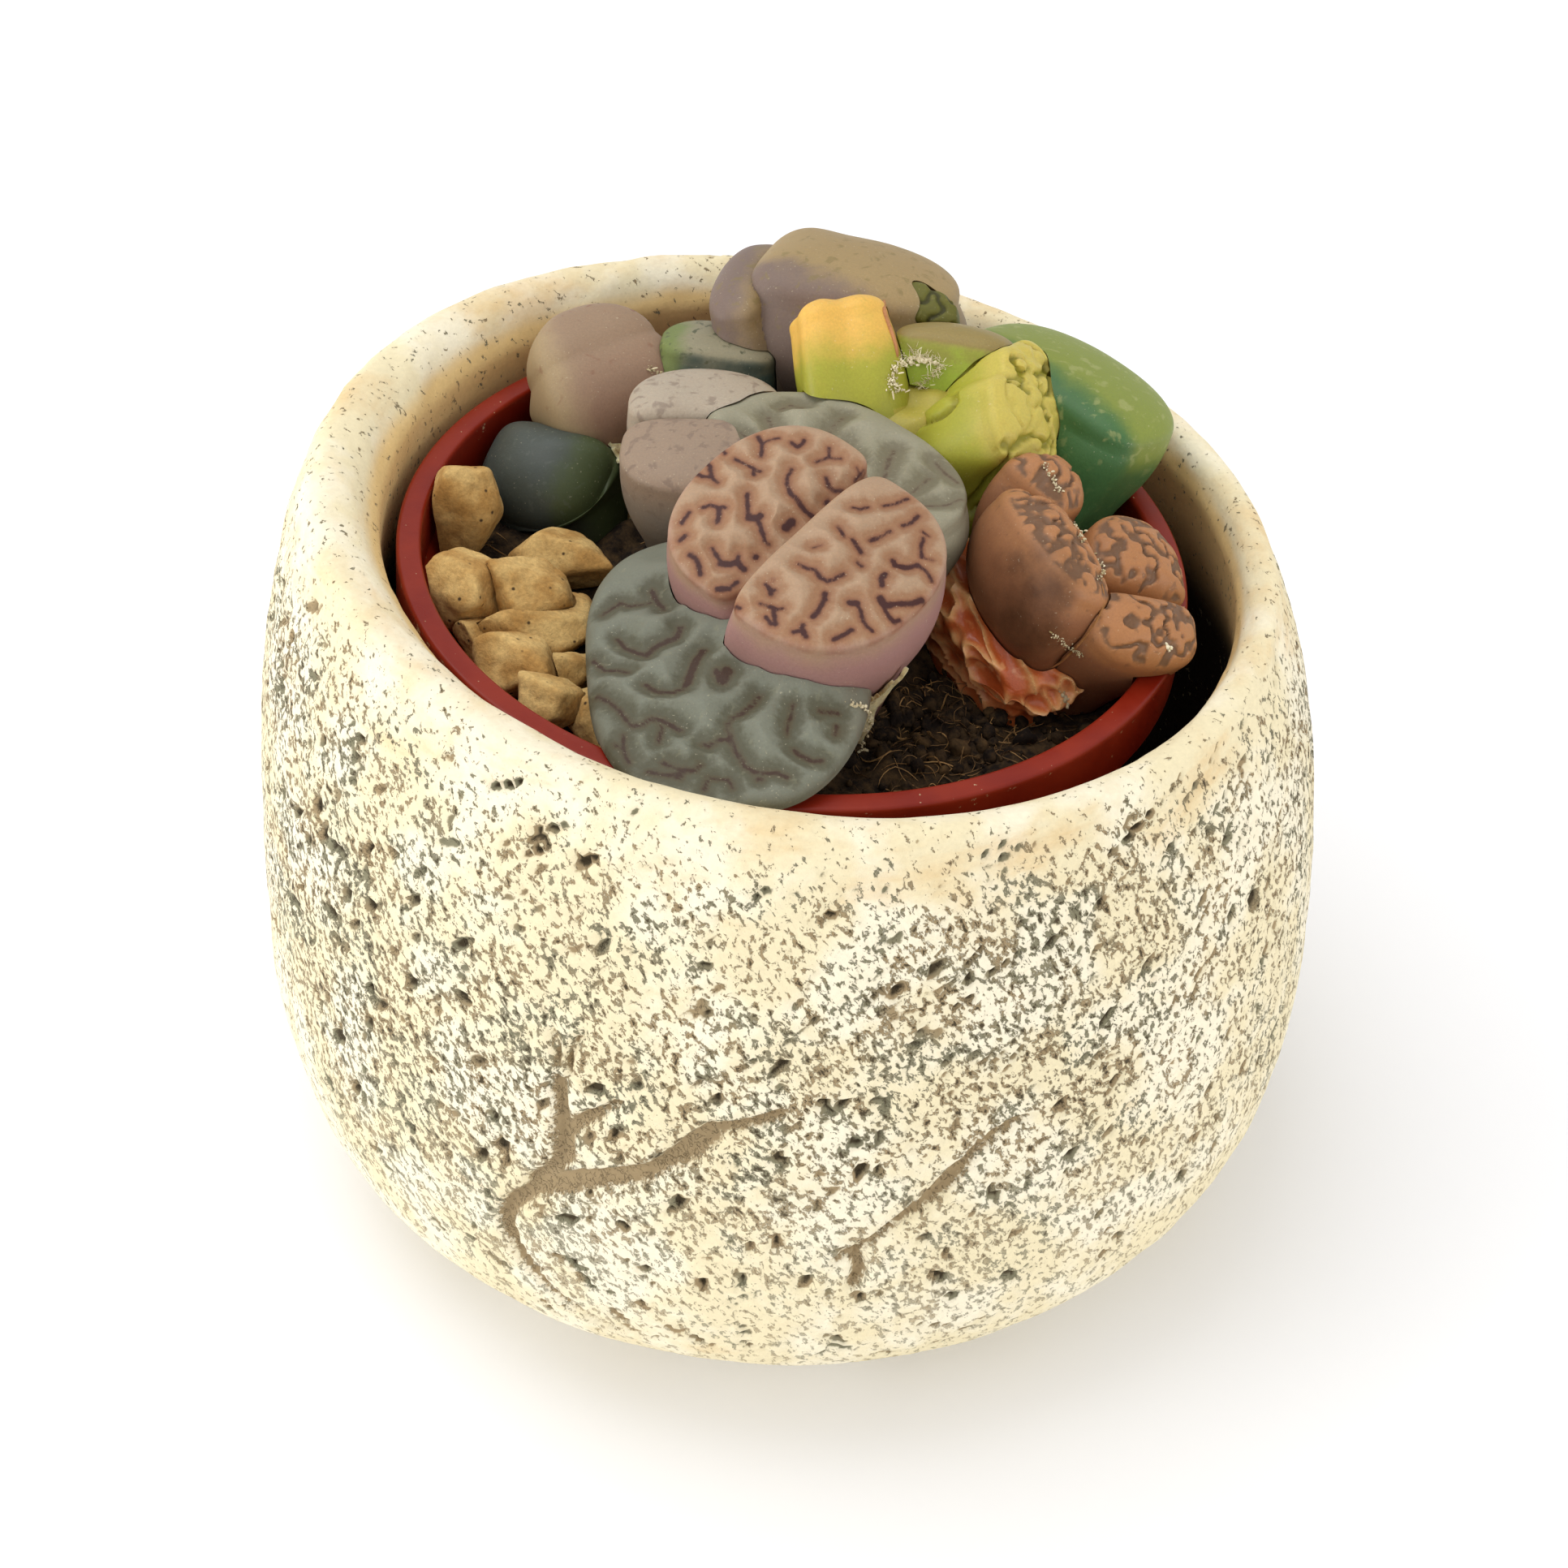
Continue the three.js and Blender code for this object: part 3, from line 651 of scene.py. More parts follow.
        # the grain lightens and darkens the colour a little and roughens the surface
        shade = s.add("MapRange", {0: fine, 1: 0.3, 2: 0.7, 3: 0.93, 4: 1.07})
        colour = s.add("VectorMath", {0: colour, "Scale": shade}, **SCALE)
        bump = s.add("Bump", {"Height": fine, "Strength": self.grain, "Distance": 0.05 * MM})
        bump = s.add("Bump", {"Height": mottle, "Strength": self.grain, "Distance": 0.2 * MM, "Normal": bump})
        rough = s.add(
            "MapRange", {0: fine, 1: 0.3, 2: 0.7, 3: self.roughness - 0.06, 4: self.roughness + 0.06}
        )
        return s.finish(
            Base_Color=colour,
            Roughness=rough,
            Normal=bump,
            Specular_IOR_Level=self.gloss,
            Subsurface_Weight=self.glow,
            Subsurface_Radius=(1.0, 0.55, 0.35),
            Subsurface_Scale=self.glow_mm * MM,
        )


# ---- leaves


@dataclass
class Leaf:
    """A bent, tapering body with a D-shaped section, whose top is the leaf's face.

    The fields up to cells have the names and meanings of the solids' own. The rest is finer relief.
    """

    at: Point
    foot: Point = (0.0, 0.0, 44.0)
    lean: float = 0
    toward: float = -90
    turn: float = 0
    wide: float = 6
    out: float = 4
    inn: float = 3
    footWide: float = 0.5
    footDeep: float = 0.5
    bulge: float = 0.06
    crown: float = 0.7
    edge: float = 1.2
    round: float = 2.3
    flat: float = 4
    meet: float = 0.8
    taper: float = 1.3  # below 1 the leaf narrows right under its face
    shoulder: float = 5  # the lower, the rounder is the face's rim
    cap: float = 0  # how strongly the blush covers the face and the top of the side
    folds: float = 0
    foldDepth: float = 0
    foldTwist: float = 0
    seed: int = 1
    cells: int = 64
    rings: int = 26
    island: float = 0  # spacing of the raised islands in mm
    relief: float = 0  # depth of the channels between them
    strokes: str = ""  # strokes as the camera sees them, see sketch()
    channel: float = 0.3  # depth of the channel that each stroke lies in
    channel_mm: float = 0.8  # width of its bank
    swell: float = 0.12  # broad unevenness of the face
    swell_mm: float = 3.5
    wrinkle: float = 0  # depth of wrinkles all over; below 0 they are narrow creases between pillows
    wrinkle_mm: float = 2
    run: Point = (0, 0, 1)  # direction in which the wrinkles are drawn out
    # direction of the tint on the face, painted shade on the brown leaves, and where it starts and is full
    tint_and_shade: tuple[float, float, float] = (0, FAR, 2 * FAR)

    def __post_init__(self) -> None:
        """Works out the frame of the face and the line that the body follows."""
        lean, toward, turn = (math.radians(a) for a in (self.lean, self.toward, self.turn))
        self.normal = np.array(
            [math.sin(lean) * math.cos(toward), math.sin(lean) * math.sin(toward), math.cos(lean)]
        )
        self.across = np.array([math.cos(turn), math.sin(turn), 0.0])
        top, foot = np.array(self.at) - self.edge * self.normal, np.array(self.foot)
        length = float(np.linalg.norm(top - foot))
        self.line = [top, top - 0.38 * length * self.normal, foot + 0.3 * length * UP, foot]
        self.length = length

    def section(self, t: Array) -> tuple[Array, Array, Array, Array]:
        """The frame of the section at each t.

        Args:
            t: 0 under the face to 1 at the foot.

        Returns:
            Centres, width directions, depth directions and upward directions.
        """
        s = t[:, None]
        p0, p1, p2, p3 = self.line
        centre = (1 - s) ** 3 * p0 + 3 * (1 - s) ** 2 * s * p1 + 3 * (1 - s) * s * s * p2 + s**3 * p3
        slope = (1 - s) ** 2 * (p1 - p0) + 2 * (1 - s) * s * (p2 - p1) + s * s * (p3 - p2)
        up = -unit(slope)
        wide = unit(self.across - up * (up @ self.across)[:, None])
        return centre, wide, np.cross(up, wide), up

    def radius(self, t: Array, angle: Array) -> Array:
        """Reach of the section.

        Args:
            t: 0 under the face to 1 at the foot.
            angle: Angle from the width, in radians.

        Returns:
            Millimetres from the section's centre to its outline.
        """
        taper = t**self.taper
        swollen = self.bulge * np.sin(math.pi * np.minimum(t / 0.45, 1))
        wide = self.wide * (1 - taper + taper * self.footWide + swollen)
        deep = 1 - taper + taper * self.footDeep + swollen
        outer = np.sin(angle) >= 0
        half = np.where(outer, self.out * deep, self.inn * deep + self.meet * np.sin(math.pi * t))
        power = np.where(outer, self.round, self.flat)
        x, y = np.abs(np.cos(angle)) / wide, np.abs(np.sin(angle)) / half
        fold = np.sin(self.folds * angle + self.foldTwist * t + self.seed)
        return (x**power + y**power) ** (-1 / power) * (1 + self.foldDepth * (1 - t) * fold)

    def dome(self, share: Array, grow: float = 0) -> Array:
        """Height of the face above its shoulder's foot.

        Args:
            share: 0 at the middle of the face to 1 at its outline.
            grow: Millimetres added to the shoulder.

        Returns:
            Millimetres.
        """
        share = np.minimum(share, 1)
        rim = (1 - share**self.shoulder) ** (1 / self.shoulder)
        return self.crown * (1 - share**2) + (self.edge + grow) * rim

    def sighted(self) -> list[tuple[Array, float]]:
        """Lays the strokes on the face where the camera sees them.

        Returns:
            For each stroke its points in the face's plane and half its width.
        """
        centre, wide, deep, up = (a[0] for a in self.section(np.zeros(1)))
        laid = []
        for places, half in sketch(self.strokes) if self.strokes else []:
            rays = SIGHT.rays(places)
            away = np.array(SIGHT.eye) - centre
            high = np.full(len(places), self.edge + self.crown)
            for _ in range(4):
                reach = (high - away @ up) / (rays @ up)
                hit = away + rays * reach[:, None]
                flat = np.stack([hit @ wide, hit @ deep], -1)
                angle = np.arctan2(flat[:, 1], flat[:, 0])
                outline = self.radius(np.zeros(len(places)), angle)
                high = self.dome(np.linalg.norm(flat, axis=-1) / outline)
            laid.append((flat, half))
        return laid

    def surface(self, cells: int, rings: int, grow: float = 0, plain: bool = False) -> Surface:
        """Builds the leaf's skin.

        Args:
            cells: Divisions across the face.
            rings: Divisions down the side.
            grow: Millimetres by which the skin stands off the true one.
            plain: Whether relief is left out.

        Returns:
            The closed skin with the values way, off, raised, blush and sunk.
        """
        n = cells + 1
        axis = np.linspace(-1, 1, n)
        gx, gy = (g.ravel() for g in np.meshgrid(axis, axis, indexing="ij"))
        index = np.arange(n * n).reshape(n, n)
        rim = np.concatenate([index[:-1, 0], index[-1, :-1], index[:0:-1, -1], index[0, :0:-1]])
        gx, gy = (np.concatenate([g, np.tile(g[rim], rings)]) for g in (gx, gy))
        on_face = np.arange(len(gx)) < n * n
        down = np.concatenate([np.zeros(n * n), np.repeat(np.arange(1, rings + 1) / rings, len(rim))])
        dx, dy = gx * np.sqrt(1 - gy * gy / 2), gy * np.sqrt(1 - gx * gx / 2)
        angle = np.arctan2(dy, dx)
        share = np.where(on_face, 1 - (1 - np.minimum(np.hypot(dx, dy), 1)) ** 1.6, 1)
        t = down**1.25
        reach = share * (self.radius(t, angle) + grow)
        flat = np.stack([reach * np.cos(angle), reach * np.sin(angle)], -1)
        high = np.where(on_face, self.dome(share, grow), 0)
        off = np.full(len(t), FAR)
        raised = np.zeros(len(t))
        fade = np.where(on_face, 1 - share**6, 0)
        if not plain:
            seen = on_face & (share < 1)
            if self.strokes:
                off[seen] = from_lines(flat[seen], self.sighted())
                bank = np.exp(-(np.maximum(off, 0) ** 2) / self.channel_mm**2)
                # low beside the strokes, where the window colour is also painted shade in the channels
                raised = smoothstep(off, 0, 1.2 * self.channel_mm)
                high -= self.channel * bank * fade
            if self.island:
                inside = np.abs(noise(flat, self.island, self.seed, 2))
                raised = np.maximum(smoothstep(inside, 0.1, 0.55), smoothstep(share, 0.85, 1))
                high += self.relief * (raised - 1) * fade
            high += self.swell * noise(flat, self.swell_mm, self.seed) * fade
        centre, wide, deep, up = self.section(t)
        points = centre + wide * flat[:, :1] + deep * flat[:, 1:] + up * high[:, None]
        foot = np.array(self.foot) - grow * UP
        points[down == 1] -= grow * UP
        points = np.concatenate([points, foot[None]])
        grid = index[:-1, :-1], index[1:, :-1], index[1:, 1:], index[:-1, 1:]
        faces: list[Sequence[int]] = np.stack(grid, -1).reshape(-1, 4).tolist()
        rows = np.concatenate([rim[None], n * n + np.arange(rings * len(rim)).reshape(rings, -1)])
        beside = np.roll(rows, -1, axis=1)
        faces += np.stack([rows[:-1], rows[1:], beside[1:], beside[:-1]], -1).reshape(-1, 4).tolist()
        last = len(points) - 1
        faces += [[a, last, b] for a, b in zip(rows[-1].tolist(), beside[-1].tolist())]
        angle_, start, full = self.tint_and_shade
        lean = flat @ np.array([math.cos(math.radians(angle_)), math.sin(math.radians(angle_))])
        values = {
            "way": np.where(on_face, share, 1 + t),
            "off": off,
            "raised": raised,
            "tint_and_shade": np.maximum(smoothstep(lean, start, full), 0.9 * self.cap * smoothstep(t, 0.22, -0.02)),
            "sunk": np.zeros(len(t)),
        }
        made = Surface(points, faces, {k: np.append(v, v[-1]) for k, v in values.items()})
        if self.wrinkle and not plain:
            run = unit(np.array(self.run, float))
            drawn = made.points - 0.6 * (made.points @ run)[:, None] * run
            rough = np.abs(noise(drawn, self.wrinkle_mm, self.seed, 2))
            soft = smoothstep(np.append(1 - t, 0), 0, 0.3)
            if self.wrinkle > 0:
                sunk = 1 - np.exp(-rough / 0.3)
            else:
                sunk = 1 - smoothstep(rough, 0, 0.2)
            made.push(abs(self.wrinkle) * (0.15 - sunk) * soft)
            made.values["sunk"] = sunk * soft
            made.values["raised"] = np.maximum(made.values["raised"], 1 - sunk)
        return made

    def room(self) -> bpy.types.Object:
        """Returns a plainer copy that stands off the leaf by the gap kept at a contact."""
        return self.surface(28, 10, CONTACT, plain=True).piece("room")


@dataclass
class Plant:
    """A leaf that stands free, or leaves still joined at their base, in one piece."""

    name: str
    slot: str
    skin: LeafSkin
    leaves: list[Leaf]

    def build(self, rooms: list[bpy.types.Object]) -> bpy.types.Object:
        """Builds the piece and cuts the room of its neighbours out of it.

        Args:
            rooms: What stands there already.

        Returns:
            The piece.
        """
        skins = [leaf.surface(leaf.cells, leaf.rings) for leaf in self.leaves]
        bodies = [skin.piece(self.name) for skin in skins]
        piece = bodies[0]
        if bodies[1:]:
            combine(piece, bodies[1:], Join.UNION)
        near = [room for room in rooms if touching(piece, room)]
        if near:
            combine(piece, near, Join.CUT)
            keep_largest(piece)
        source = skins[0]
        for skin in skins[1:]:
            source = source.joined(skin)
        if near or bodies[1:]:
            carry_values(piece, source)
        for body in bodies[1:]:
            remove(body)
        piece.name = f"{self.name}_skin"
        finish_piece(piece, self.skin.build(), [self.name])
        rooms.extend(leaf.room() for leaf in self.leaves)
        return piece


def corners(piece: bpy.types.Object) -> tuple[Array, Array]:
    """Returns the lowest and highest corner of a piece, in metres."""
    points = np.empty(len(piece.data.vertices) * 3, np.float32)
    piece.data.vertices.foreach_get("co", points)
    points = points.reshape(-1, 3)
    return points.min(0), points.max(0)


def touching(a: bpy.types.Object, b: bpy.types.Object) -> bool:
    """Returns whether the boxes of two pieces overlap."""
    (low_a, high_a), (low_b, high_b) = corners(a), corners(b)
    return bool((low_a < high_b).all() and (low_b < high_a).all())


def remove(piece: bpy.types.Object) -> None:
    """Deletes an object and its mesh."""
    mesh = piece.data
    bpy.data.objects.remove(piece)
    bpy.data.meshes.remove(mesh)


# ---- the plants

PINK_LEFT = """
0.17: 891,544 886,550 886,554 893,556
0.2: 934,535 939,541 938,554
0.12: 939,541 948,537 960,535
0.2: 976,540 983,545 989,541 991,537
0.16: 1022,547 1022,557 1006,562
0.14: 1022,558 1036,560
0.18: 906,560 919,565 928,569 936,573
0.17: 928,569 929,577
0.18: 865,567 875,572 877,583
0.17: 840,591 850,586 865,584 877,583 884,588
0.19: 976,571 971,580 970,590 975,603
0.24: 973,600 985,613 992,622 1001,630
0.2: 1018,581 1021,592 1028,599 1037,601
0.1: 1056,572 1060,583 1064,588
0.14: 1060,583 1053,596
0.19: 921,602 921,615 922,632
0.3: 923,632 933,633 937,629
0.2: 933,633 938,646 943,662 947,665
0.2: 866,620 875,616 886,620 893,620
0.24: 886,621 886,630 884,636
0.2: 849,627 844,634 840,641
0.22: 844,656 838,663
0.2: 878,670 885,681 890,688
0.26: 888,688 900,689 908,686 917,695
0.18: 908,686 910,678
0.22: 850,680 857,684 861,692 863,704
0.24: 931,680
0.33: 976,637 968,644
0.19: 1020,611 1018,614
0.24: 885,730 898,728
0.2: 908,714 902,721
"""
PINK_RIGHT = """
0.16: 1052,618 1060,620 1071,618
0.15: 1090,617 1103,615 1119,611
0.18: 1132,630 1125,638 1113,642
0.18: 1034,642 1041,653
0.22: 1074,657 1083,654
0.15: 1083,654 1092,650 1098,647
0.1: 1012,665 1003,667
0.22: 1052,657 1057,664 1062,672
0.13: 1138,650 1145,656
0.18: 1139,658 1136,668 1137,680
0.1: 1137,680 1150,686
0.16: 1058,683 1063,688
0.17: 984,687 997,692 1006,694
0.19: 1006,694 1012,703 1020,707 1028,705 1041,698
0.24: 1102,682 1104,688 1118,691 1132,689
0.17: 1132,689 1141,697 1147,708 1149,714
0.18: 944,711 950,717 955,718
0.2: 950,718 951,725
0.26: 1092,700 1087,706 1088,715
0.24: 1018,723 1017,731
0.2: 1017,731 1012,740 1008,748
0.22: 1009,748 1002,754
0.14: 937,739 947,741
0.24: 950,742 957,745
0.16: 957,745 965,743
0.22: 954,748 955,768 950,768
0.18: 951,768 942,773
0.3: 1048,735 1056,736
0.2: 1057,737 1062,748 1064,760
0.17: 1064,760 1069,768 1075,777
0.3: 1086,732 1090,740 1096,741
0.24: 1096,740 1110,739 1122,741 1136,740
0.22: 1090,742 1095,755 1101,766
0.2: 1101,766 1106,775
0.19: 990,765 987,774 978,778
0.22: 988,769 991,780 993,785
0.22: 1050,772 1040,780 1028,788
0.16: 907,747 912,749
0.11: 953,706
"""
GREY_FRONT = """
0.14: 763,731 775,733 790,730 801,727
0.2: 803,716 810,727 818,735
0.16: 760,775 770,783 785,788 796,790
0.22: 796,790 806,780 820,774 833,770 838,760
0.16: 731,811 745,818 760,815 773,817
0.2: 795,833 810,841 828,840 843,834
0.3: 846,828 852,812 860,795 866,786
0.15: 735,857 750,860 763,870 773,883 780,888
0.2: 780,888 792,884 803,876 818,876 838,884
0.16: 816,884 812,896 811,905
0.15: 768,900 768,915 770,930 775,943
0.1: 768,918 757,918
0.35: 884,818 890,826 897,815
0.22: 935,843 928,853 917,864 903,871
0.16: 903,871 896,880 900,896 908,914 918,934
0.17: 918,934 930,944 945,948 958,950 970,962
0.13: 977,857 976,865 971,880 970,892
0.16: 866,904 874,905 884,898 897,896
0.14: 799,966 815,960 832,961
0.17: 833,972 835,960 841,949 851,948
0.17: 851,948 858,944 863,934
0.12: 834,962 840,972 840,977
0.15: 868,988 874,976 886,973 898,977 902,986
0.17: 938,962 934,977
0.15: 1010,865 1020,866 1033,869
0.16: 1031,884 1030,897
0.19: 979,912 990,921 1000,930 1011,935
0.13: 816,934 828,944 841,949
0.12: 742,750 752,741 764,732
"""
GREY_BACK = """
0.14: 913,520 920,525
0.16: 947,500 953,512 954,526
0.14: 1040,505 1026,513 1014,528
0.16: 1042,528 1050,540 1058,560
0.18: 1102,543 1094,562 1090,582
0.13: 1146,575 1134,584 1118,596
0.13: 1186,612 1168,613 1140,610
0.12: 1090,588 1104,596 1118,598
0.12: 962,492 975,488 990,492
0.12: 1154,560 1166,575 1180,590
"""

PINK = LeafSkin(
    "lithops_skin_pink_tan", face="#946c4d", island="#a5886c", side="#a07a74", deep="#64443e",
    mark="#3c1712", halo="#7c4a30", frayed=0.35, freckle="#b89c80", freckled=0.15, freckle_share=0.36,
    halo_mm=0.25, edge=1.1, roughness=0.55,
)
GREY = LeafSkin(
    "lithops_skin_blue_grey", face="#565442", island="#757768", side="#6c6d61", deep="#2c2d26",
    tint_and_shade="#66543f", mark="#3e2a1e", halo="#51452f", frayed=0.5, freckle="#85846c", freckled=0.35,
    freckle_share=0.4, freckle_mm=0.7, halo_mm=0.3, edge=1.3, roughness=0.6,
)
GREY_PALE = replace(
    GREY, name="lithops_skin_pale_grey", face="#746d57", island="#918c76", side="#777360",
    freckle="#97937b", mark="#5c4c3c", halo="#70654f",
)
LILAC = LeafSkin(
    "lithops_skin_lilac_grey", face="#937e6a", island="#a08a75", side="#847a6e", deep="#484640",
    tint_and_shade="#a99b88", freckle="#6e5b4f", freckled=0.5, freckle_share=0.47, freckle_mm=0.9, edge=1.2,
)
ROSE = LeafSkin(
    "lithops_skin_rose_tan", face="#937a62", island="#9c8268", side="#94745f", deep="#6a4a3c",
    tint_and_shade="#a08a68", freckle="#7c4c38", freckled=0.6, freckle_share=0.38, freckle_mm=1.1, edge=1.25,
)
SLATE = LeafSkin(
    "lithops_skin_slate", face="#454b45", island="#50574f", side="#333a36", deep="#484a30",
    tint_and_shade="#465030", freckle="#666c62", freckled=0.25, edge=1.3, roughness=0.5,
)
TEAL = LeafSkin(
    "lithops_skin_teal", face="#8a836a", island="#979072", side="#3a4a44", deep="#222c26",
    tint_and_shade="#6e7a42", freckle="#4c4e36", freckled=0.9, freckle_share=0.42, freckle_mm=0.8, edge=1.04,
)
LIME = LeafSkin(
    "lithops_skin_lime", face="#ac9f42", island="#bfae52", side="#a09e34", deep="#76761f",
    tint_and_shade="#dcae52", freckle="#b8a04a", freckled=0.4, freckle_share=0.4, freckle_mm=0.8, fold="#87801f",
    edge=1.12, roughness=0.48, glow=0.2, glow_mm=1.6,
)
INNER = LeafSkin(
    "lithops_skin_young_green", face="#8c7a46", island="#90804a", side="#9cae3a", deep="#5c6c22",
    tint_and_shade="#75623f", freckle="#96884c", freckled=0.3, edge=1.05, roughness=0.5, glow=0.2,
)
HUSK = LeafSkin(
    "drying_leaf_olive", face="#4b4a14", island="#5e5c1e", side="#545412", deep="#26280a",
    tint_and_shade="#6c6428", freckle="#74703a", freckled=0.5, fold="#37350f", edge=1.1, roughness=0.62,
)
OLIVE = LeafSkin(
    "lithops_skin_olive_tan", face="#9a835a", island="#a08a60", side="#756659", deep="#4a4038",
    tint_and_shade="#76645a", freckle="#7c6c42", freckled=0.6, freckle_share=0.44, freckle_mm=0.9, edge=1.25,
)
GREEN = LeafSkin(
    "lithops_skin_fresh_green", face="#7d8838", island="#89923f", side="#3f5f34", deep="#1c381c",
    tint_and_shade="#41683a", freckle="#9ea066", freckled=0.5, freckle_share=0.44, freckle_mm=0.9, edge=1.25,
    roughness=0.5, glow=0.15,
)
# the brown leaves' tint is painted shade, on the side of the left pair that lies in the shade of the pink
# pair and the red leaf
BROWN = LeafSkin(
    "lithops_skin_mauve_brown", face="#6e4e34", island="#a67247", side="#8a5c3e", deep="#6e462c",
    tint_and_shade="#54351f", freckle="#664a34", freckled=0.5, freckle_share=0.4, freckle_mm=0.7, edge=1.1,
    roughness=0.5,
)
RED = LeafSkin(
    "shrivelled_leaf_orange_red", face="#dc7a40", island="#efb277", side="#de7038", deep="#cc5a30",
    tint_and_shade="#c0643e", freckle="#efb47c", freckled=0.55, freckle_mm=1.4, fold="#b8501f", edge=3.0,
    roughness=0.34, gloss=0.6, glow=0.25, glow_mm=1.2, grain=0.5,
)


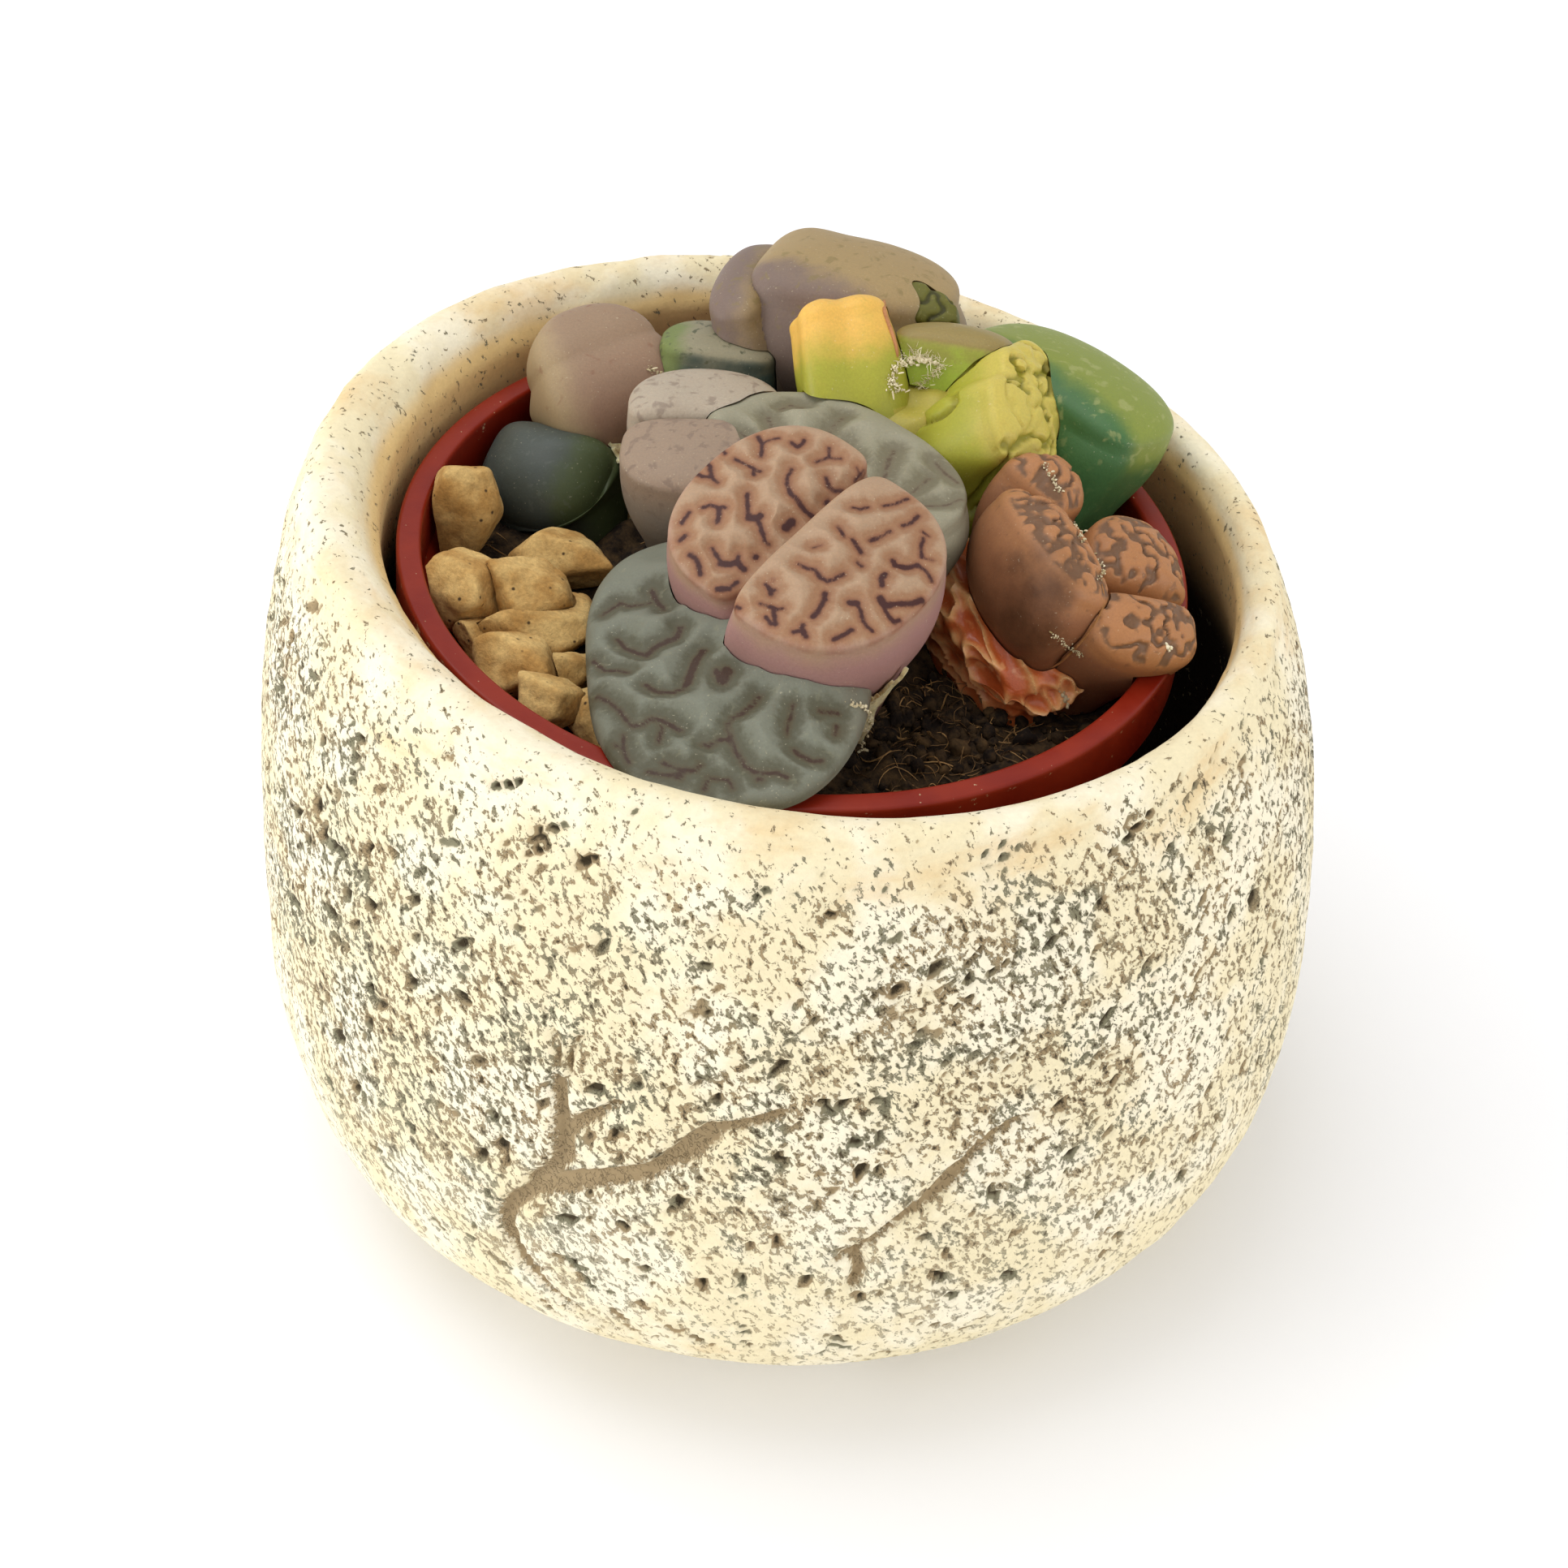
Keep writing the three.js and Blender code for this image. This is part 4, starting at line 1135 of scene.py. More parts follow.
# In the order in which they press against each other. The sizes are those of the solids, apart from the
# front grey leaf's outline, the shoulders of the rose, slate and brown leaves, and the depth of some folds.
PLANTS = [
    Plant("pink_pair", "leaf_pink", PINK, [
        Leaf(at=(-1.3, -7.8, 60.6), lean=19, toward=-88, turn=52, wide=7.6, out=6.1, inn=2.7,
             foot=(-0.4, -9, 43.6), footWide=0.55, footDeep=0.55, bulge=0.07, crown=0.9, edge=1.3,
             seed=3, cells=120, rings=26, strokes=PINK_LEFT, channel=0.65,
             channel_mm=0.95, swell=0.15, swell_mm=2.4),
        Leaf(at=(2.1, -12, 60.6), lean=13, toward=-73, turn=234, wide=7.9, out=7.2, inn=2.6,
             foot=(0.8, -10.4, 43.6), footWide=0.5, footDeep=0.55, bulge=0.08, crown=0.9, edge=1.3,
             seed=8, cells=120, rings=26, strokes=PINK_RIGHT, channel=0.65,
             channel_mm=0.95, swell=0.15, swell_mm=2.4),
    ]),
    Plant("grey_leaf_front", "leaf_grey", GREY, [
        Leaf(at=(-2.7, -14.9, 54.9), lean=1, toward=-95, turn=96, wide=13.7, out=10.8, inn=7.8,
             foot=(-1.6, -14.2, 43.6), footWide=0.3, footDeep=0.4, bulge=0.0, crown=1.3, edge=2.1,
             round=2.9, flat=1.8, taper=0.8, shoulder=3, seed=5, cells=130, rings=22,
             strokes=GREY_FRONT, channel=0.95, channel_mm=1.2, swell=0.4, swell_mm=2.6,
             tint_and_shade=(-90, 2.5, 12)),
    ]),
    Plant("grey_leaf_back", "leaf_grey", GREY_PALE, [
        Leaf(at=(2.2, 0.6, 58.9), lean=2, toward=60, turn=-46, wide=10.4, out=7.4, inn=3.6,
             foot=(1.8, -4.7, 43.6), bulge=0.08, crown=0.8, edge=1.6, seed=9, cells=100,
             strokes=GREY_BACK, channel=1.0, channel_mm=1.3, swell=0.4, swell_mm=2.4),
    ]),
    Plant("lilac_pair", "leaf_lilac", LILAC, [
        Leaf(at=(-6.4, 8.2, 58.4), lean=4, toward=60, turn=2, wide=5.5, out=4.9, inn=2.2,
             foot=(-5.6, 5.4, 43.8), seed=2, cap=1),
        Leaf(at=(-6.5, 2.5, 58.4), lean=9, toward=-112, turn=176, wide=5.8, out=4.2, inn=3.1,
             foot=(-5.9, 3.6, 43.8), seed=4),
    ]),
    Plant("rose_leaf", "leaf_rose", ROSE, [
        Leaf(at=(-16.2, 18.6, 57.2), lean=52, toward=125, turn=32, wide=4.9, out=4.4, inn=3.4,
             foot=(-13.2, 16.4, 44.4), bulge=0.22, crown=1.6, edge=2.6, shoulder=2.6, seed=6,
             tint_and_shade=(150, -1, 4)),
    ]),
    Plant("slate_leaf", "leaf_slate", SLATE, [
        Leaf(at=(-18.9, 9, 52.5), lean=31, toward=225, turn=154, wide=5, out=4.3, inn=3.6,
             foot=(-15.5, 8.9, 44), bulge=0.1, crown=1.5, edge=2.4, shoulder=2.6, seed=7,
             tint_and_shade=(180, 1, 4.5)),
    ]),
    Plant("teal_leaf", "leaf_teal", TEAL, [
        Leaf(at=(-5.7, 17.4, 57.6), lean=13, toward=60, turn=-4, wide=4.3, out=3.6, inn=3,
             foot=(-5.2, 14.6, 43.8), bulge=0.1, seed=10, tint_and_shade=(180, 1, 4)),
    ]),
    Plant("lime_pair", "leaf_lime", LIME, [
        Leaf(at=(2.7, 14.7, 61.9), lean=48, toward=108, turn=14, wide=3.5, out=2.6, inn=2.3,
             foot=(5, 7, 43.8), footWide=0.95, footDeep=1, bulge=0.12, folds=5, foldDepth=0.06,
             foldTwist=3.6, seed=13, cap=1, cells=80, rings=40, swell=0.3, swell_mm=1.6),
        Leaf(at=(16.1, 8, 59.2), lean=51, toward=-18, turn=-102, wide=5.5, out=4.4, inn=3,
             foot=(9, 4.2, 43.8), footWide=0.9, footDeep=0.9, bulge=0.1, folds=6, foldDepth=0.1,
             foldTwist=4.8, seed=14, cells=90, rings=44, island=1.5,
             relief=0.25, wrinkle=-0.4, wrinkle_mm=2.6, run=(0.74, -0.24, 0.63)),
        Leaf(at=(8, 9.2, 57.4), lean=18, toward=-80, turn=10, wide=4.6, out=2.6, inn=3.6,
             foot=(7.2, 6.2, 43.8), footWide=0.9, footDeep=0.9, seed=1, swell=0.4, swell_mm=2),
    ]),
    Plant("lime_inner_leaf", "leaf_lime", INNER, [
        Leaf(at=(11.3, 13.2, 60.9), lean=20, toward=70, turn=-10, wide=4.4, out=2.6, inn=2,
             foot=(10.8, 12.8, 43.8), footWide=0.6, footDeep=0.8, bulge=0.08, seed=15),
    ]),
    Plant("lime_husk", "leaf_husk", HUSK, [
        Leaf(at=(7.6, 17.2, 61.3), lean=35, toward=-110, turn=-16, wide=3.8, out=1.5, inn=1.5,
             foot=(8, 16, 43.8), footWide=0.7, footDeep=1, crown=0.3, edge=0.8, folds=4,
             foldDepth=0.08, foldTwist=3, seed=22, wrinkle=-0.2, wrinkle_mm=1.6),
    ]),
    Plant("olive_pair", "leaf_olive", OLIVE, [
        Leaf(at=(2.7, 22, 61.5), lean=11, toward=62, turn=-106, wide=6, out=9.3, inn=5.6,
             foot=(3.4, 18.4, 43.6), bulge=0.16, crown=1.4, edge=2, seed=11, cells=80, tint_and_shade=(-14, 2, 6.5)),
        Leaf(at=(-4, 21.4, 60.5), lean=12, toward=154, turn=78, wide=5.6, out=2.4, inn=2.2,
             foot=(1.2, 18.6, 43.6), bulge=0.12, crown=0.9, edge=1.6, seed=12, tint_and_shade=(90, -3, 1)),
    ]),
    Plant("green_leaf", "leaf_green", GREEN, [
        Leaf(at=(19.9, 13.1, 57.9), lean=16, toward=22, turn=-43, wide=8.2, out=6, inn=4.2,
             foot=(16.4, 8.4, 43.6), footWide=0.35, footDeep=0.45, bulge=0.04, crown=1.1, edge=1.8,
             seed=16, cells=80, tint_and_shade=(-90, 0.6, 4.2)),
    ]),
    Plant("brown_pair_left", "leaf_brown", BROWN, [
        Leaf(at=(17.6, 1.3, 57.2), lean=32, toward=10, turn=-34, wide=2.9, out=3.1, inn=2.6,
             foot=(17, -2.6, 43.6), footWide=0.6, footDeep=0.6, bulge=0.1, seed=17,
             island=1, relief=0.3, crown=1.1, edge=1.6, shoulder=3.5),
        # its tint is painted shade on the side facing the pink pair and the red leaf
        Leaf(at=(17.6, -6, 57.5), lean=38, toward=17, turn=116, wide=5.8, out=3.1, inn=3.1,
             foot=(17.3, -5.8, 43.6), footWide=0.36, footDeep=0.4, bulge=0.1, island=1, relief=0.35,
             crown=1.1, edge=1.6, shoulder=3.5, seed=18, cells=110, tint_and_shade=(115, 1.2, 6)),
    ]),
    Plant("brown_pair_right", "leaf_brown", BROWN, [
        Leaf(at=(23.7, -4.6, 53.8), lean=32, toward=-31, turn=5, wide=3.9, out=4.9, inn=1.9,
             foot=(18.9, -6, 44.2), footWide=0.6, footDeep=0.6, island=1, relief=0.3, crown=1.1,
             edge=1.7, shoulder=3.5, seed=19, cells=90),
        Leaf(at=(23.7, -10.7, 53.5), lean=40, toward=-44, turn=183, wide=4.3, out=2.6, inn=2.6,
             foot=(18.2, -7.6, 44.2), footWide=0.6, footDeep=0.7, island=1, relief=0.3, crown=1.1,
             edge=1.7, shoulder=3.5, seed=20, cells=90),
    ]),
    Plant("red_wrinkled_leaf", "leaf_red", RED, [
        Leaf(at=(13.1, -5.6, 51.2), lean=22, toward=-113, turn=119, wide=8, out=3.3, inn=3,
             foot=(13.2, -4.7, 44), footWide=0.8, footDeep=0.8, crown=0.9, edge=1.6, folds=9,
             foldDepth=0.08, foldTwist=7.2, seed=21, cells=130, rings=44, wrinkle=0.75,
             wrinkle_mm=1.6, run=(-0.48, 0.87, 0.2)),
    ]),
]


@dataclass
class Pile:
    """Loose small things in one piece: bent strands and rough lumps, each with a tone of its own."""

    points: list[Array] = field(default_factory=list)
    faces: list[Sequence[int]] = field(default_factory=list)
    tone: list[Array] = field(default_factory=list)
    count: int = 0

    def add(self, points: Array, faces: Sequence[Sequence[int]], tone: float) -> None:
        """Adds one closed body.

        Args:
            points: Its points.
            faces: Its faces, counted from its own first point.
            tone: Its tone, from 0 to 1.
        """
        self.faces += [[v + self.count for v in face] for face in faces]
        self.points.append(points)
        self.tone.append(np.full(len(points), tone))
        self.count += len(points)

    def strand(self, centre: Array, thick: float, tone: float, sides: int = 3) -> None:
        """Adds a strand that thins toward its ends.

        Args:
            centre: Points along its middle, in mm.
            thick: Half its width at the middle.
            tone: Its tone.
            sides: Sides of its section.
        """
        steps = len(centre)
        along = np.linspace(-1, 1, steps)
        ahead = unit(np.gradient(centre, axis=0))
        side = unit(np.cross(ahead, UP + 0.01))
        over = np.cross(side, ahead)
        width = thick * np.sqrt(np.clip(1 - along**4, 0.08, 1))[:, None, None]
        a = np.arange(sides)[:, None] * 2 * math.pi / sides
        points = centre[:, None] + width * (np.cos(a) * side[:, None] + np.sin(a) * over[:, None])
        faces: list[Sequence[int]] = []
        for k, j in itertools.product(range(steps - 1), range(sides)):
            low, high = k * sides + j, k * sides + (j + 1) % sides
            faces.append([low, high, high + sides, low + sides])
        faces.append(list(range(sides))[::-1])
        faces.append([(steps - 1) * sides + j for j in range(sides)])
        self.add(points.reshape(-1, 3), faces, tone)

    def lump(self, at: Array, size: Array, seed: int, tone: float) -> None:
        """Adds a rough lump; one under half a millimetre gets fewer faces, too small to tell apart.

        Args:
            at: Its middle, in mm.
            size: Its half sizes.
            seed: Chooses its shape.
            tone: Its tone.
        """
        points, faces = ball(2 if np.max(size) > 0.45 else 1)
        self.add(points * (1 + 0.4 * noise(points, 0.8, seed, 2))[:, None] * size + at, faces, tone)

    def build(self, name: str, material: bpy.types.Material, slot: str) -> bpy.types.Object:
        """Builds the piece.

        Args:
            name: Its name.
            material: Its material, which reads the tone.
            slot: The material slot, not used.

        Returns:
            The piece.
        """
        made = Surface(np.concatenate(self.points), self.faces, {"tone": np.concatenate(self.tone)})
        piece = made.piece(name)
        finish_piece(piece, material, crease=80)
        return piece


@dataclass(frozen=True)
class DrySheath:
    """Dry papery skin of older leaves: thin, fibrous and a little translucent, torn along its edge."""

    name: str = "dry_leaf_sheath"
    pale: str = "#d9cc9c"
    brown: str = "#8f6f42"
    patch_mm: float = 2.0
    fibre_mm: float = 0.3125
    roughness: float = 0.72

    def build(self) -> bpy.types.Material:
        """Returns the material."""
        s = Shader(self.name)
        place = s.add("TexCoord").outputs["Object"]
        patch = s.add(
            "TexNoise", {"Vector": place, "Scale": pitch(self.patch_mm), "Detail": 4.0, "Roughness": 0.65}
        )
        fine = s.add("TexNoise", {"Vector": place, "Scale": pitch(self.fibre_mm), "Detail": 3.0})
        brown = s.add("MapRange", {0: patch, 1: 0.45, 2: 0.68}, **SMOOTH)
        colour = s.add("Mix", {0: brown, 6: linear(self.pale), 7: linear(self.brown)}, **RGBA)
        shade = s.add("MapRange", {0: fine, 1: 0.3, 2: 0.7, 3: 0.8, 4: 1.15})
        colour = s.add("VectorMath", {0: colour, "Scale": shade}, **SCALE)
        bump = s.add("Bump", {"Height": fine, "Strength": 0.6, "Distance": 0.12 * MM})
        return s.finish(
            Base_Color=colour, Roughness=self.roughness, Normal=bump,
            Subsurface_Weight=0.5, Subsurface_Radius=(1.0, 0.8, 0.5), Subsurface_Scale=0.8 * MM,
        )


@dataclass
class Sheath:
    """A torn ribbon that wraps one side of a leaf, from the peat to a ragged edge."""

    name: str
    leaf: Leaf
    start: float  # angles round the leaf, in degrees
    end: float
    top: tuple[float, float]  # the leaf's t at each end of the edge
    ragged: float
    stand: float = 0.2
    thick: float = 0.28
    columns: int = 80
    rows: int = 40
    crinkle: float = 0.22

    def build(self, material: bpy.types.Material) -> bpy.types.Object:
        """Builds the ribbon.

        Args:
            material: The dry skin.

        Returns:
            The piece.
        """
        s, down = (g.ravel() for g in np.meshgrid(
            np.linspace(0, 1, self.columns + 1), np.linspace(0, 1, self.rows + 1), indexing="ij"
        ))
        angle = np.radians(self.start + (self.end - self.start) * s)
        tear = noise(np.stack([s * 14, s * 0], -1), 1.0, 5, 3) * self.ragged * 1.6
        t = self.top[0] + (self.top[1] - self.top[0]) * s + tear
        t = t + (1 - t) * down
        centre, wide, deep, up = self.leaf.section(np.maximum(t, 0))
        crumple = self.crinkle * noise(np.stack([angle * 8, t * 14], -1), 1.6, 3, 3)
        skins = []
        for off in (self.stand, self.stand + self.thick):
            reach = (self.leaf.radius(np.maximum(t, 0), angle) + off + np.maximum(crumple, -0.1))[:, None]
            points = centre + wide * reach * np.cos(angle)[:, None] + deep * reach * np.sin(angle)[:, None]
            skins.append(points - up * (self.leaf.length * np.minimum(t, 0))[:, None])
        count = len(s)
        grid = np.arange(count).reshape(self.columns + 1, self.rows + 1)
        corner = [grid[:-1, :-1], grid[:-1, 1:], grid[1:, 1:], grid[1:, :-1]]
        inner = np.stack(corner[::-1], -1).reshape(-1, 4)
        outer = np.stack(corner, -1).reshape(-1, 4) + count
        rim = np.concatenate([grid[:-1, 0], grid[-1, :-1], grid[:0:-1, -1], grid[0, :0:-1]])
        beside = np.roll(rim, -1)
        border = np.stack([rim, beside, beside + count, rim + count], -1)
        faces = inner.tolist() + outer.tolist() + border.tolist()
        made = Surface(np.concatenate(skins), faces).piece(f"{self.name}_skin")
        finish_piece(made, material, [self.name], crease=70)
        return made


# ---- pebbles


@dataclass(frozen=True)
class QuartzGrit:
    """Crushed beige quartzite grit: sugary grain about 0.3 mm wide with dark pores, dull all over."""

    name: str = "quartzite_grit"
    pale: str = "#d4b273"
    deep: str = "#b0864a"
    pore: str = "#4c3a22"
    grain_mm: float = 0.3
    cloud_mm: float = 2.857
    pore_mm: float = 1.111
    roughness: float = 0.88

    def build(self) -> bpy.types.Material:
        """Returns the material."""
        s = Shader(self.name)
        place = s.add("TexCoord").outputs["Object"]
        broad = s.add("TexNoise", {"Vector": place, "Scale": pitch(self.cloud_mm), "Detail": 3.0})
        grain = s.add(
            "TexNoise", {"Vector": place, "Scale": pitch(self.grain_mm), "Detail": 3.0, "Roughness": 0.7}
        )
        share = s.add("MapRange", {0: broad, 1: 0.35, 2: 0.65}, **SMOOTH)
        colour = s.add("Mix", {0: share, 6: linear(self.pale), 7: linear(self.deep)}, **RGBA)
        shade = s.add("MapRange", {0: grain, 1: 0.3, 2: 0.7, 3: 0.78, 4: 1.2})
        colour = s.add("VectorMath", {0: colour, "Scale": shade}, **SCALE)
        pores = s.add("TexVoronoi", {"Vector": place, "Scale": pitch(self.pore_mm)}).outputs["Distance"]
        pores = s.add("MapRange", {0: pores, 1: 0.16, 2: 0.06}, **SMOOTH)
        colour = s.add("Mix", {0: pores, 6: colour, 7: linear(self.pore)}, **RGBA)
        bump = s.add("Bump", {"Height": grain, "Strength": 0.7, "Distance": 0.12 * MM})
        return s.finish(Base_Color=colour, Roughness=self.roughness, Normal=bump, Specular_IOR_Level=0.3)


@dataclass
class Pebble:
    """A stone pressed flat on random sides, with blunt, slightly chipped corners between them."""

    at: Point
    size: Point
    turn: float
    seed: int
    flats: int = 9
    blunt: float = 12
    chips: float = 0.16  # depth of the chips in mm

    def surface(self, detail: int, grow: float = 0) -> Surface:
        """Builds the stone's skin.

        Args:
            detail: Subdivisions of the ball.
            grow: Millimetres added all round.

        Returns:
            The closed skin.
        """
        points, faces = ball(detail)
        total = np.zeros(len(points))
        for i in range(self.flats):
            z = 2 * (i + 0.5) / self.flats - 1
            angle = 2.4 * i + 1.2 * draw(i, 1, self.seed)
            side = math.sqrt(1 - z * z)
            normal = np.array([side * math.cos(angle), side * math.sin(angle), z])
            far = 0.82 + 0.22 * draw(i, 2, self.seed)
            total += np.maximum(points @ normal / far, 0) ** self.blunt
        points = points * (total ** (-1 / self.blunt))[:, None] * (np.array(self.size) + grow)
        a = math.radians(self.turn)
        turn = np.array([[math.cos(a), math.sin(a), 0], [-math.sin(a), math.cos(a), 0], [0, 0, 1]])
        made = Surface(points @ turn + np.array(self.at), faces)
        if not grow:
            rough = noise(made.points, 1.5, self.seed, 3)
            made.push(self.chips * np.minimum(rough, 0.25) - 0.03)
        return made

    def build(self, material: bpy.types.Material, rooms: list[bpy.types.Object]) -> bpy.types.Object:
        """Builds the stone and cuts the room of its neighbours out of it.

        Args:
            material: The stone.
            rooms: What stands there already.

        Returns:
            The piece.
        """
        node = f"pebble_{self.seed + 1:02d}"
        piece = self.surface(5).piece(f"{node}_stone")
        near = [room for room in rooms if touching(piece, room)]
        if near:
            combine(piece, near, Join.CUT)
            keep_largest(piece)
        finish_piece(piece, material, [node])
        rooms.append(self.surface(4, CONTACT).piece("room"))
        return piece


PEBBLES = [
    Pebble((-23.4, 4.2, 51.9), (2.6, 2.2, 3.1), 12, 0),
    Pebble((-23, -4.8, 51.2), (2.6, 2.8, 2.4), 8, 1),
    Pebble((-18.2, -4.1, 50.7), (2.9, 2.4, 2.1), -12, 2),
    Pebble((-18.6, -11.4, 50), (2.9, 2.1, 2), -20, 3),
    Pebble((-16, -15.4, 50), (2.3, 1.9, 1.9), -30, 4),
    Pebble((-16.8, 1.1, 49.4), (3.7, 2, 1.9), -8, 5),
    Pebble((-16.6, -6.4, 49.2), (3.5, 2.5, 1.9), 18, 6),
    Pebble((-13, -15.8, 49.2), (1.7, 2.3, 1.9), 20, 7),
    Pebble((-21, -7.4, 48.8), (1.6, 1.7, 1.6), 0, 8),
    Pebble((-15.8, -10.8, 48.6), (2.4, 1.5, 1.6), 14, 9),
]


# ---- cachepot

ROOT_CASTS = """
0.22: 681,1272 684,1300 683,1318
0.18: 699,1322 701,1305 708,1286 716,1276
0.55: 686,1335 688,1360 691,1385
0.75: 691,1390 693,1410 691,1428
0.6: 688,1436 672,1450 656,1458
0.5: 700,1396 716,1384 732,1377
0.3: 732,1377 748,1369 760,1362
0.85: 664,1466 690,1463 720,1458
0.75: 720,1458 760,1455 796,1450
0.6: 796,1450 826,1434 852,1412 878,1394
0.5: 838,1436 860,1420 880,1404
0.4: 878,1393 912,1390 940,1384 964,1376
0.62: 652,1472 630,1484 619,1504 628,1528
0.5: 628,1528 642,1550 658,1572
0.36: 658,1572 680,1594 706,1612
0.24: 706,1612 736,1630 764,1643
0.28: 1266,1380 1246,1388 1226,1402
0.45: 1226,1402 1204,1422 1184,1444
0.7: 1184,1444 1166,1462 1152,1476
0.45: 1152,1476 1132,1492 1108,1506
0.3: 1108,1506 1084,1524 1056,1542 1030,1556
0.45: 1054,1548 1060,1568 1052,1584
"""


@dataclass(frozen=True)
class CastStoneware:
    """Cast, unglazed stoneware with a cream wash: dull, chalky, and darker where the wash missed.

    The wash lies on the high places. The clay's own taupe shows in the finest pocks, which are 0.2 to
    0.8 mm wide, and dirt and moss darken the open pits, with painted shade that is darkest where they
    are deep and at the pocks' centres.
    """

    name: str = "cast_stoneware_cream_wash"
    wash: str = "#e6d9b4"
    chalk: str = "#efe6cc"
    stain: str = "#d6b074"
    lining: str = "#e0c084"
    # painted shade at the cavity's floor
    cavity_shade: str = "#2c2115"
    clay: str = "#a08b68"
    moss: str = "#858066"
    # the dark in pits and pocks: dirt and moss, with painted shade
    pit: str = "#453a26"
    pock_mm: float = 0.55
    cloud_mm: float = 7.692
    streak_mm: float = 9.091
    moss_mm: float = 3.846
    chalk_mm: float = 0.3846  # the chalk's own grain is finer, and drawn coarser so that it shows
    roughness: float = 0.8

    def build(self) -> bpy.types.Material:
        """Returns the material."""
        s = Shader(self.name)
        place = s.add("TexCoord").outputs["Object"]
        pit, groove, dense, lip, inside = (
            s.add("Attribute", attribute_name=key).outputs["Fac"]
            for key in ("pit", "groove", "dense", "lip", "inside")
        )
        broad = s.add(
            "TexNoise", {"Vector": place, "Scale": pitch(self.cloud_mm), "Detail": 4.0, "Roughness": 0.6}
        )
        chalky = s.add("MapRange", {0: broad, 1: 0.42, 2: 0.62}, **SMOOTH)
        colour = s.add("Mix", {0: chalky, 6: linear(self.wash), 7: linear(self.chalk)}, **RGBA)
        streak = s.add("Mapping", {"Vector": place, "Scale": (1.0, 1.0, 3.0)})
        streak = s.add(
            "TexNoise", {"Vector": streak, "Scale": pitch(self.streak_mm), "Detail": 5.0, "Roughness": 0.65}
        )
        stained = s.add("Math", {0: streak, 1: -0.5}, operation="ADD")
        stained = s.add("Math", {0: lip, 1: 0.13, 2: stained}, **TIMES_PLUS)
        stained = s.add("MapRange", {0: stained, 1: 0.08, 2: 0.4, 4: 0.6}, **SMOOTH)
        colour = s.add("Mix", {0: stained, 6: colour, 7: linear(self.stain)}, **RGBA)
        lined = s.add("Math", {0: broad, 1: 1.2, 2: inside}, **TIMES_PLUS)
        lined = s.add("MapRange", {0: lined, 1: 0.7, 2: 1.6}, **SMOOTH)
        colour = s.add("Mix", {0: lined, 6: colour, 7: linear(self.lining)}, **RGBA)
        # painted shade: the cavity darkens toward its floor
        cavity_shade_share = s.add("MapRange", {0: inside, 1: 1.05, 2: 2.0}, **SMOOTH)
        colour = s.add("Mix", {0: cavity_shade_share, 6: colour, 7: linear(self.cavity_shade)}, **RGBA)
        # pocks: short, ragged and mostly slanting down to the right, with clay and moss in them and the dark
        # pit colour, partly painted shade, at their centres
        slant = s.add(
            "Mapping", {"Vector": place, "Rotation": (0.0, -0.5, 0.0), "Scale": (0.85, 1.0, 1.35)},
            vector_type="TEXTURE",
        )
        pocks = s.add(
            "TexNoise",
            {"Vector": slant, "Scale": pitch(self.pock_mm), "Detail": 5.0, "Roughness": 0.66,
             "Distortion": 0.3},
        )
        open_pocks = s.add("Math", {0: dense, 1: 0.12, 2: pocks}, **TIMES_PLUS)
        pocked = s.add("MapRange", {0: open_pocks, 1: 0.622, 2: 0.665}, **SMOOTH)
        hole = s.add("MapRange", {0: open_pocks, 1: 0.7, 2: 0.75}, **SMOOTH)
        mossy = s.add("TexNoise", {"Vector": place, "Scale": pitch(self.moss_mm), "Detail": 2.0})
        mossy = s.add("MapRange", {0: mossy, 1: 0.42, 2: 0.6}, **SMOOTH)
        dirt = s.add("Mix", {0: mossy, 6: linear(self.clay), 7: linear(self.moss)}, **RGBA)
        # the wash has run into the lower pocks and left them paler
        level = s.add("SeparateXYZ", {0: place}).outputs["Z"]
        bare = s.add("MapRange", {0: level, 1: 8 * MM, 2: 32 * MM, 3: 0.5, 4: 1.0})
        pocked = s.add("Math", {0: pocked, 1: bare}, operation="MULTIPLY")
        hole = s.add("Math", {0: hole, 1: bare}, operation="MULTIPLY")
        colour = s.add("Mix", {0: pocked, 6: colour, 7: dirt}, **RGBA)
        colour = s.add("Mix", {0: hole, 6: colour, 7: linear(self.pit)}, **RGBA)
        fine = s.add(
            "TexNoise", {"Vector": place, "Scale": pitch(self.chalk_mm), "Detail": 3.0, "Roughness": 0.7}
        )
        ragged = s.add("Math", {0: fine, 1: -0.5}, operation="ADD")
        # open pits: dirt at their rims, and inside the dark pit colour, partly painted shade, darkest where
        # they are deep
        open_ = s.add("Math", {0: ragged, 1: 0.25, 2: pit}, **TIMES_PLUS)
        rim = s.add("MapRange", {0: open_, 1: 0.1, 2: 0.2}, **SMOOTH)
        colour = s.add("Mix", {0: rim, 6: colour, 7: dirt}, **RGBA)
        deep = s.add("MapRange", {0: open_, 1: 0.26, 2: 0.5}, **SMOOTH)
        colour = s.add("Mix", {0: deep, 6: colour, 7: linear(self.pit)}, **RGBA)
        # casts of roots, bare clay inside
        edge = s.add("Math", {0: ragged, 1: 0.9, 2: groove}, **TIMES_PLUS)
        cast = s.add("MapRange", {0: edge, 1: 0.1, 2: -0.12}, **SMOOTH)
        colour = s.add("Mix", {0: cast, 6: colour, 7: linear(self.clay)}, **RGBA)
        shade = s.add("MapRange", {0: fine, 1: 0.3, 2: 0.7, 3: 0.95, 4: 1.05})
        colour = s.add("VectorMath", {0: colour, "Scale": shade}, **SCALE)
        sunk = s.add("Math", {0: pocked, 1: -1.0, 2: 1.0}, **TIMES_PLUS)
        bump = s.add("Bump", {"Height": sunk, "Strength": 0.8, "Distance": 0.22 * MM})
        bump = s.add("Bump", {"Height": fine, "Strength": 0.35, "Distance": 0.1 * MM, "Normal": bump})
        return s.finish(
            Base_Color=colour, Roughness=self.roughness, Normal=bump, Specular_IOR_Level=0.3
        )


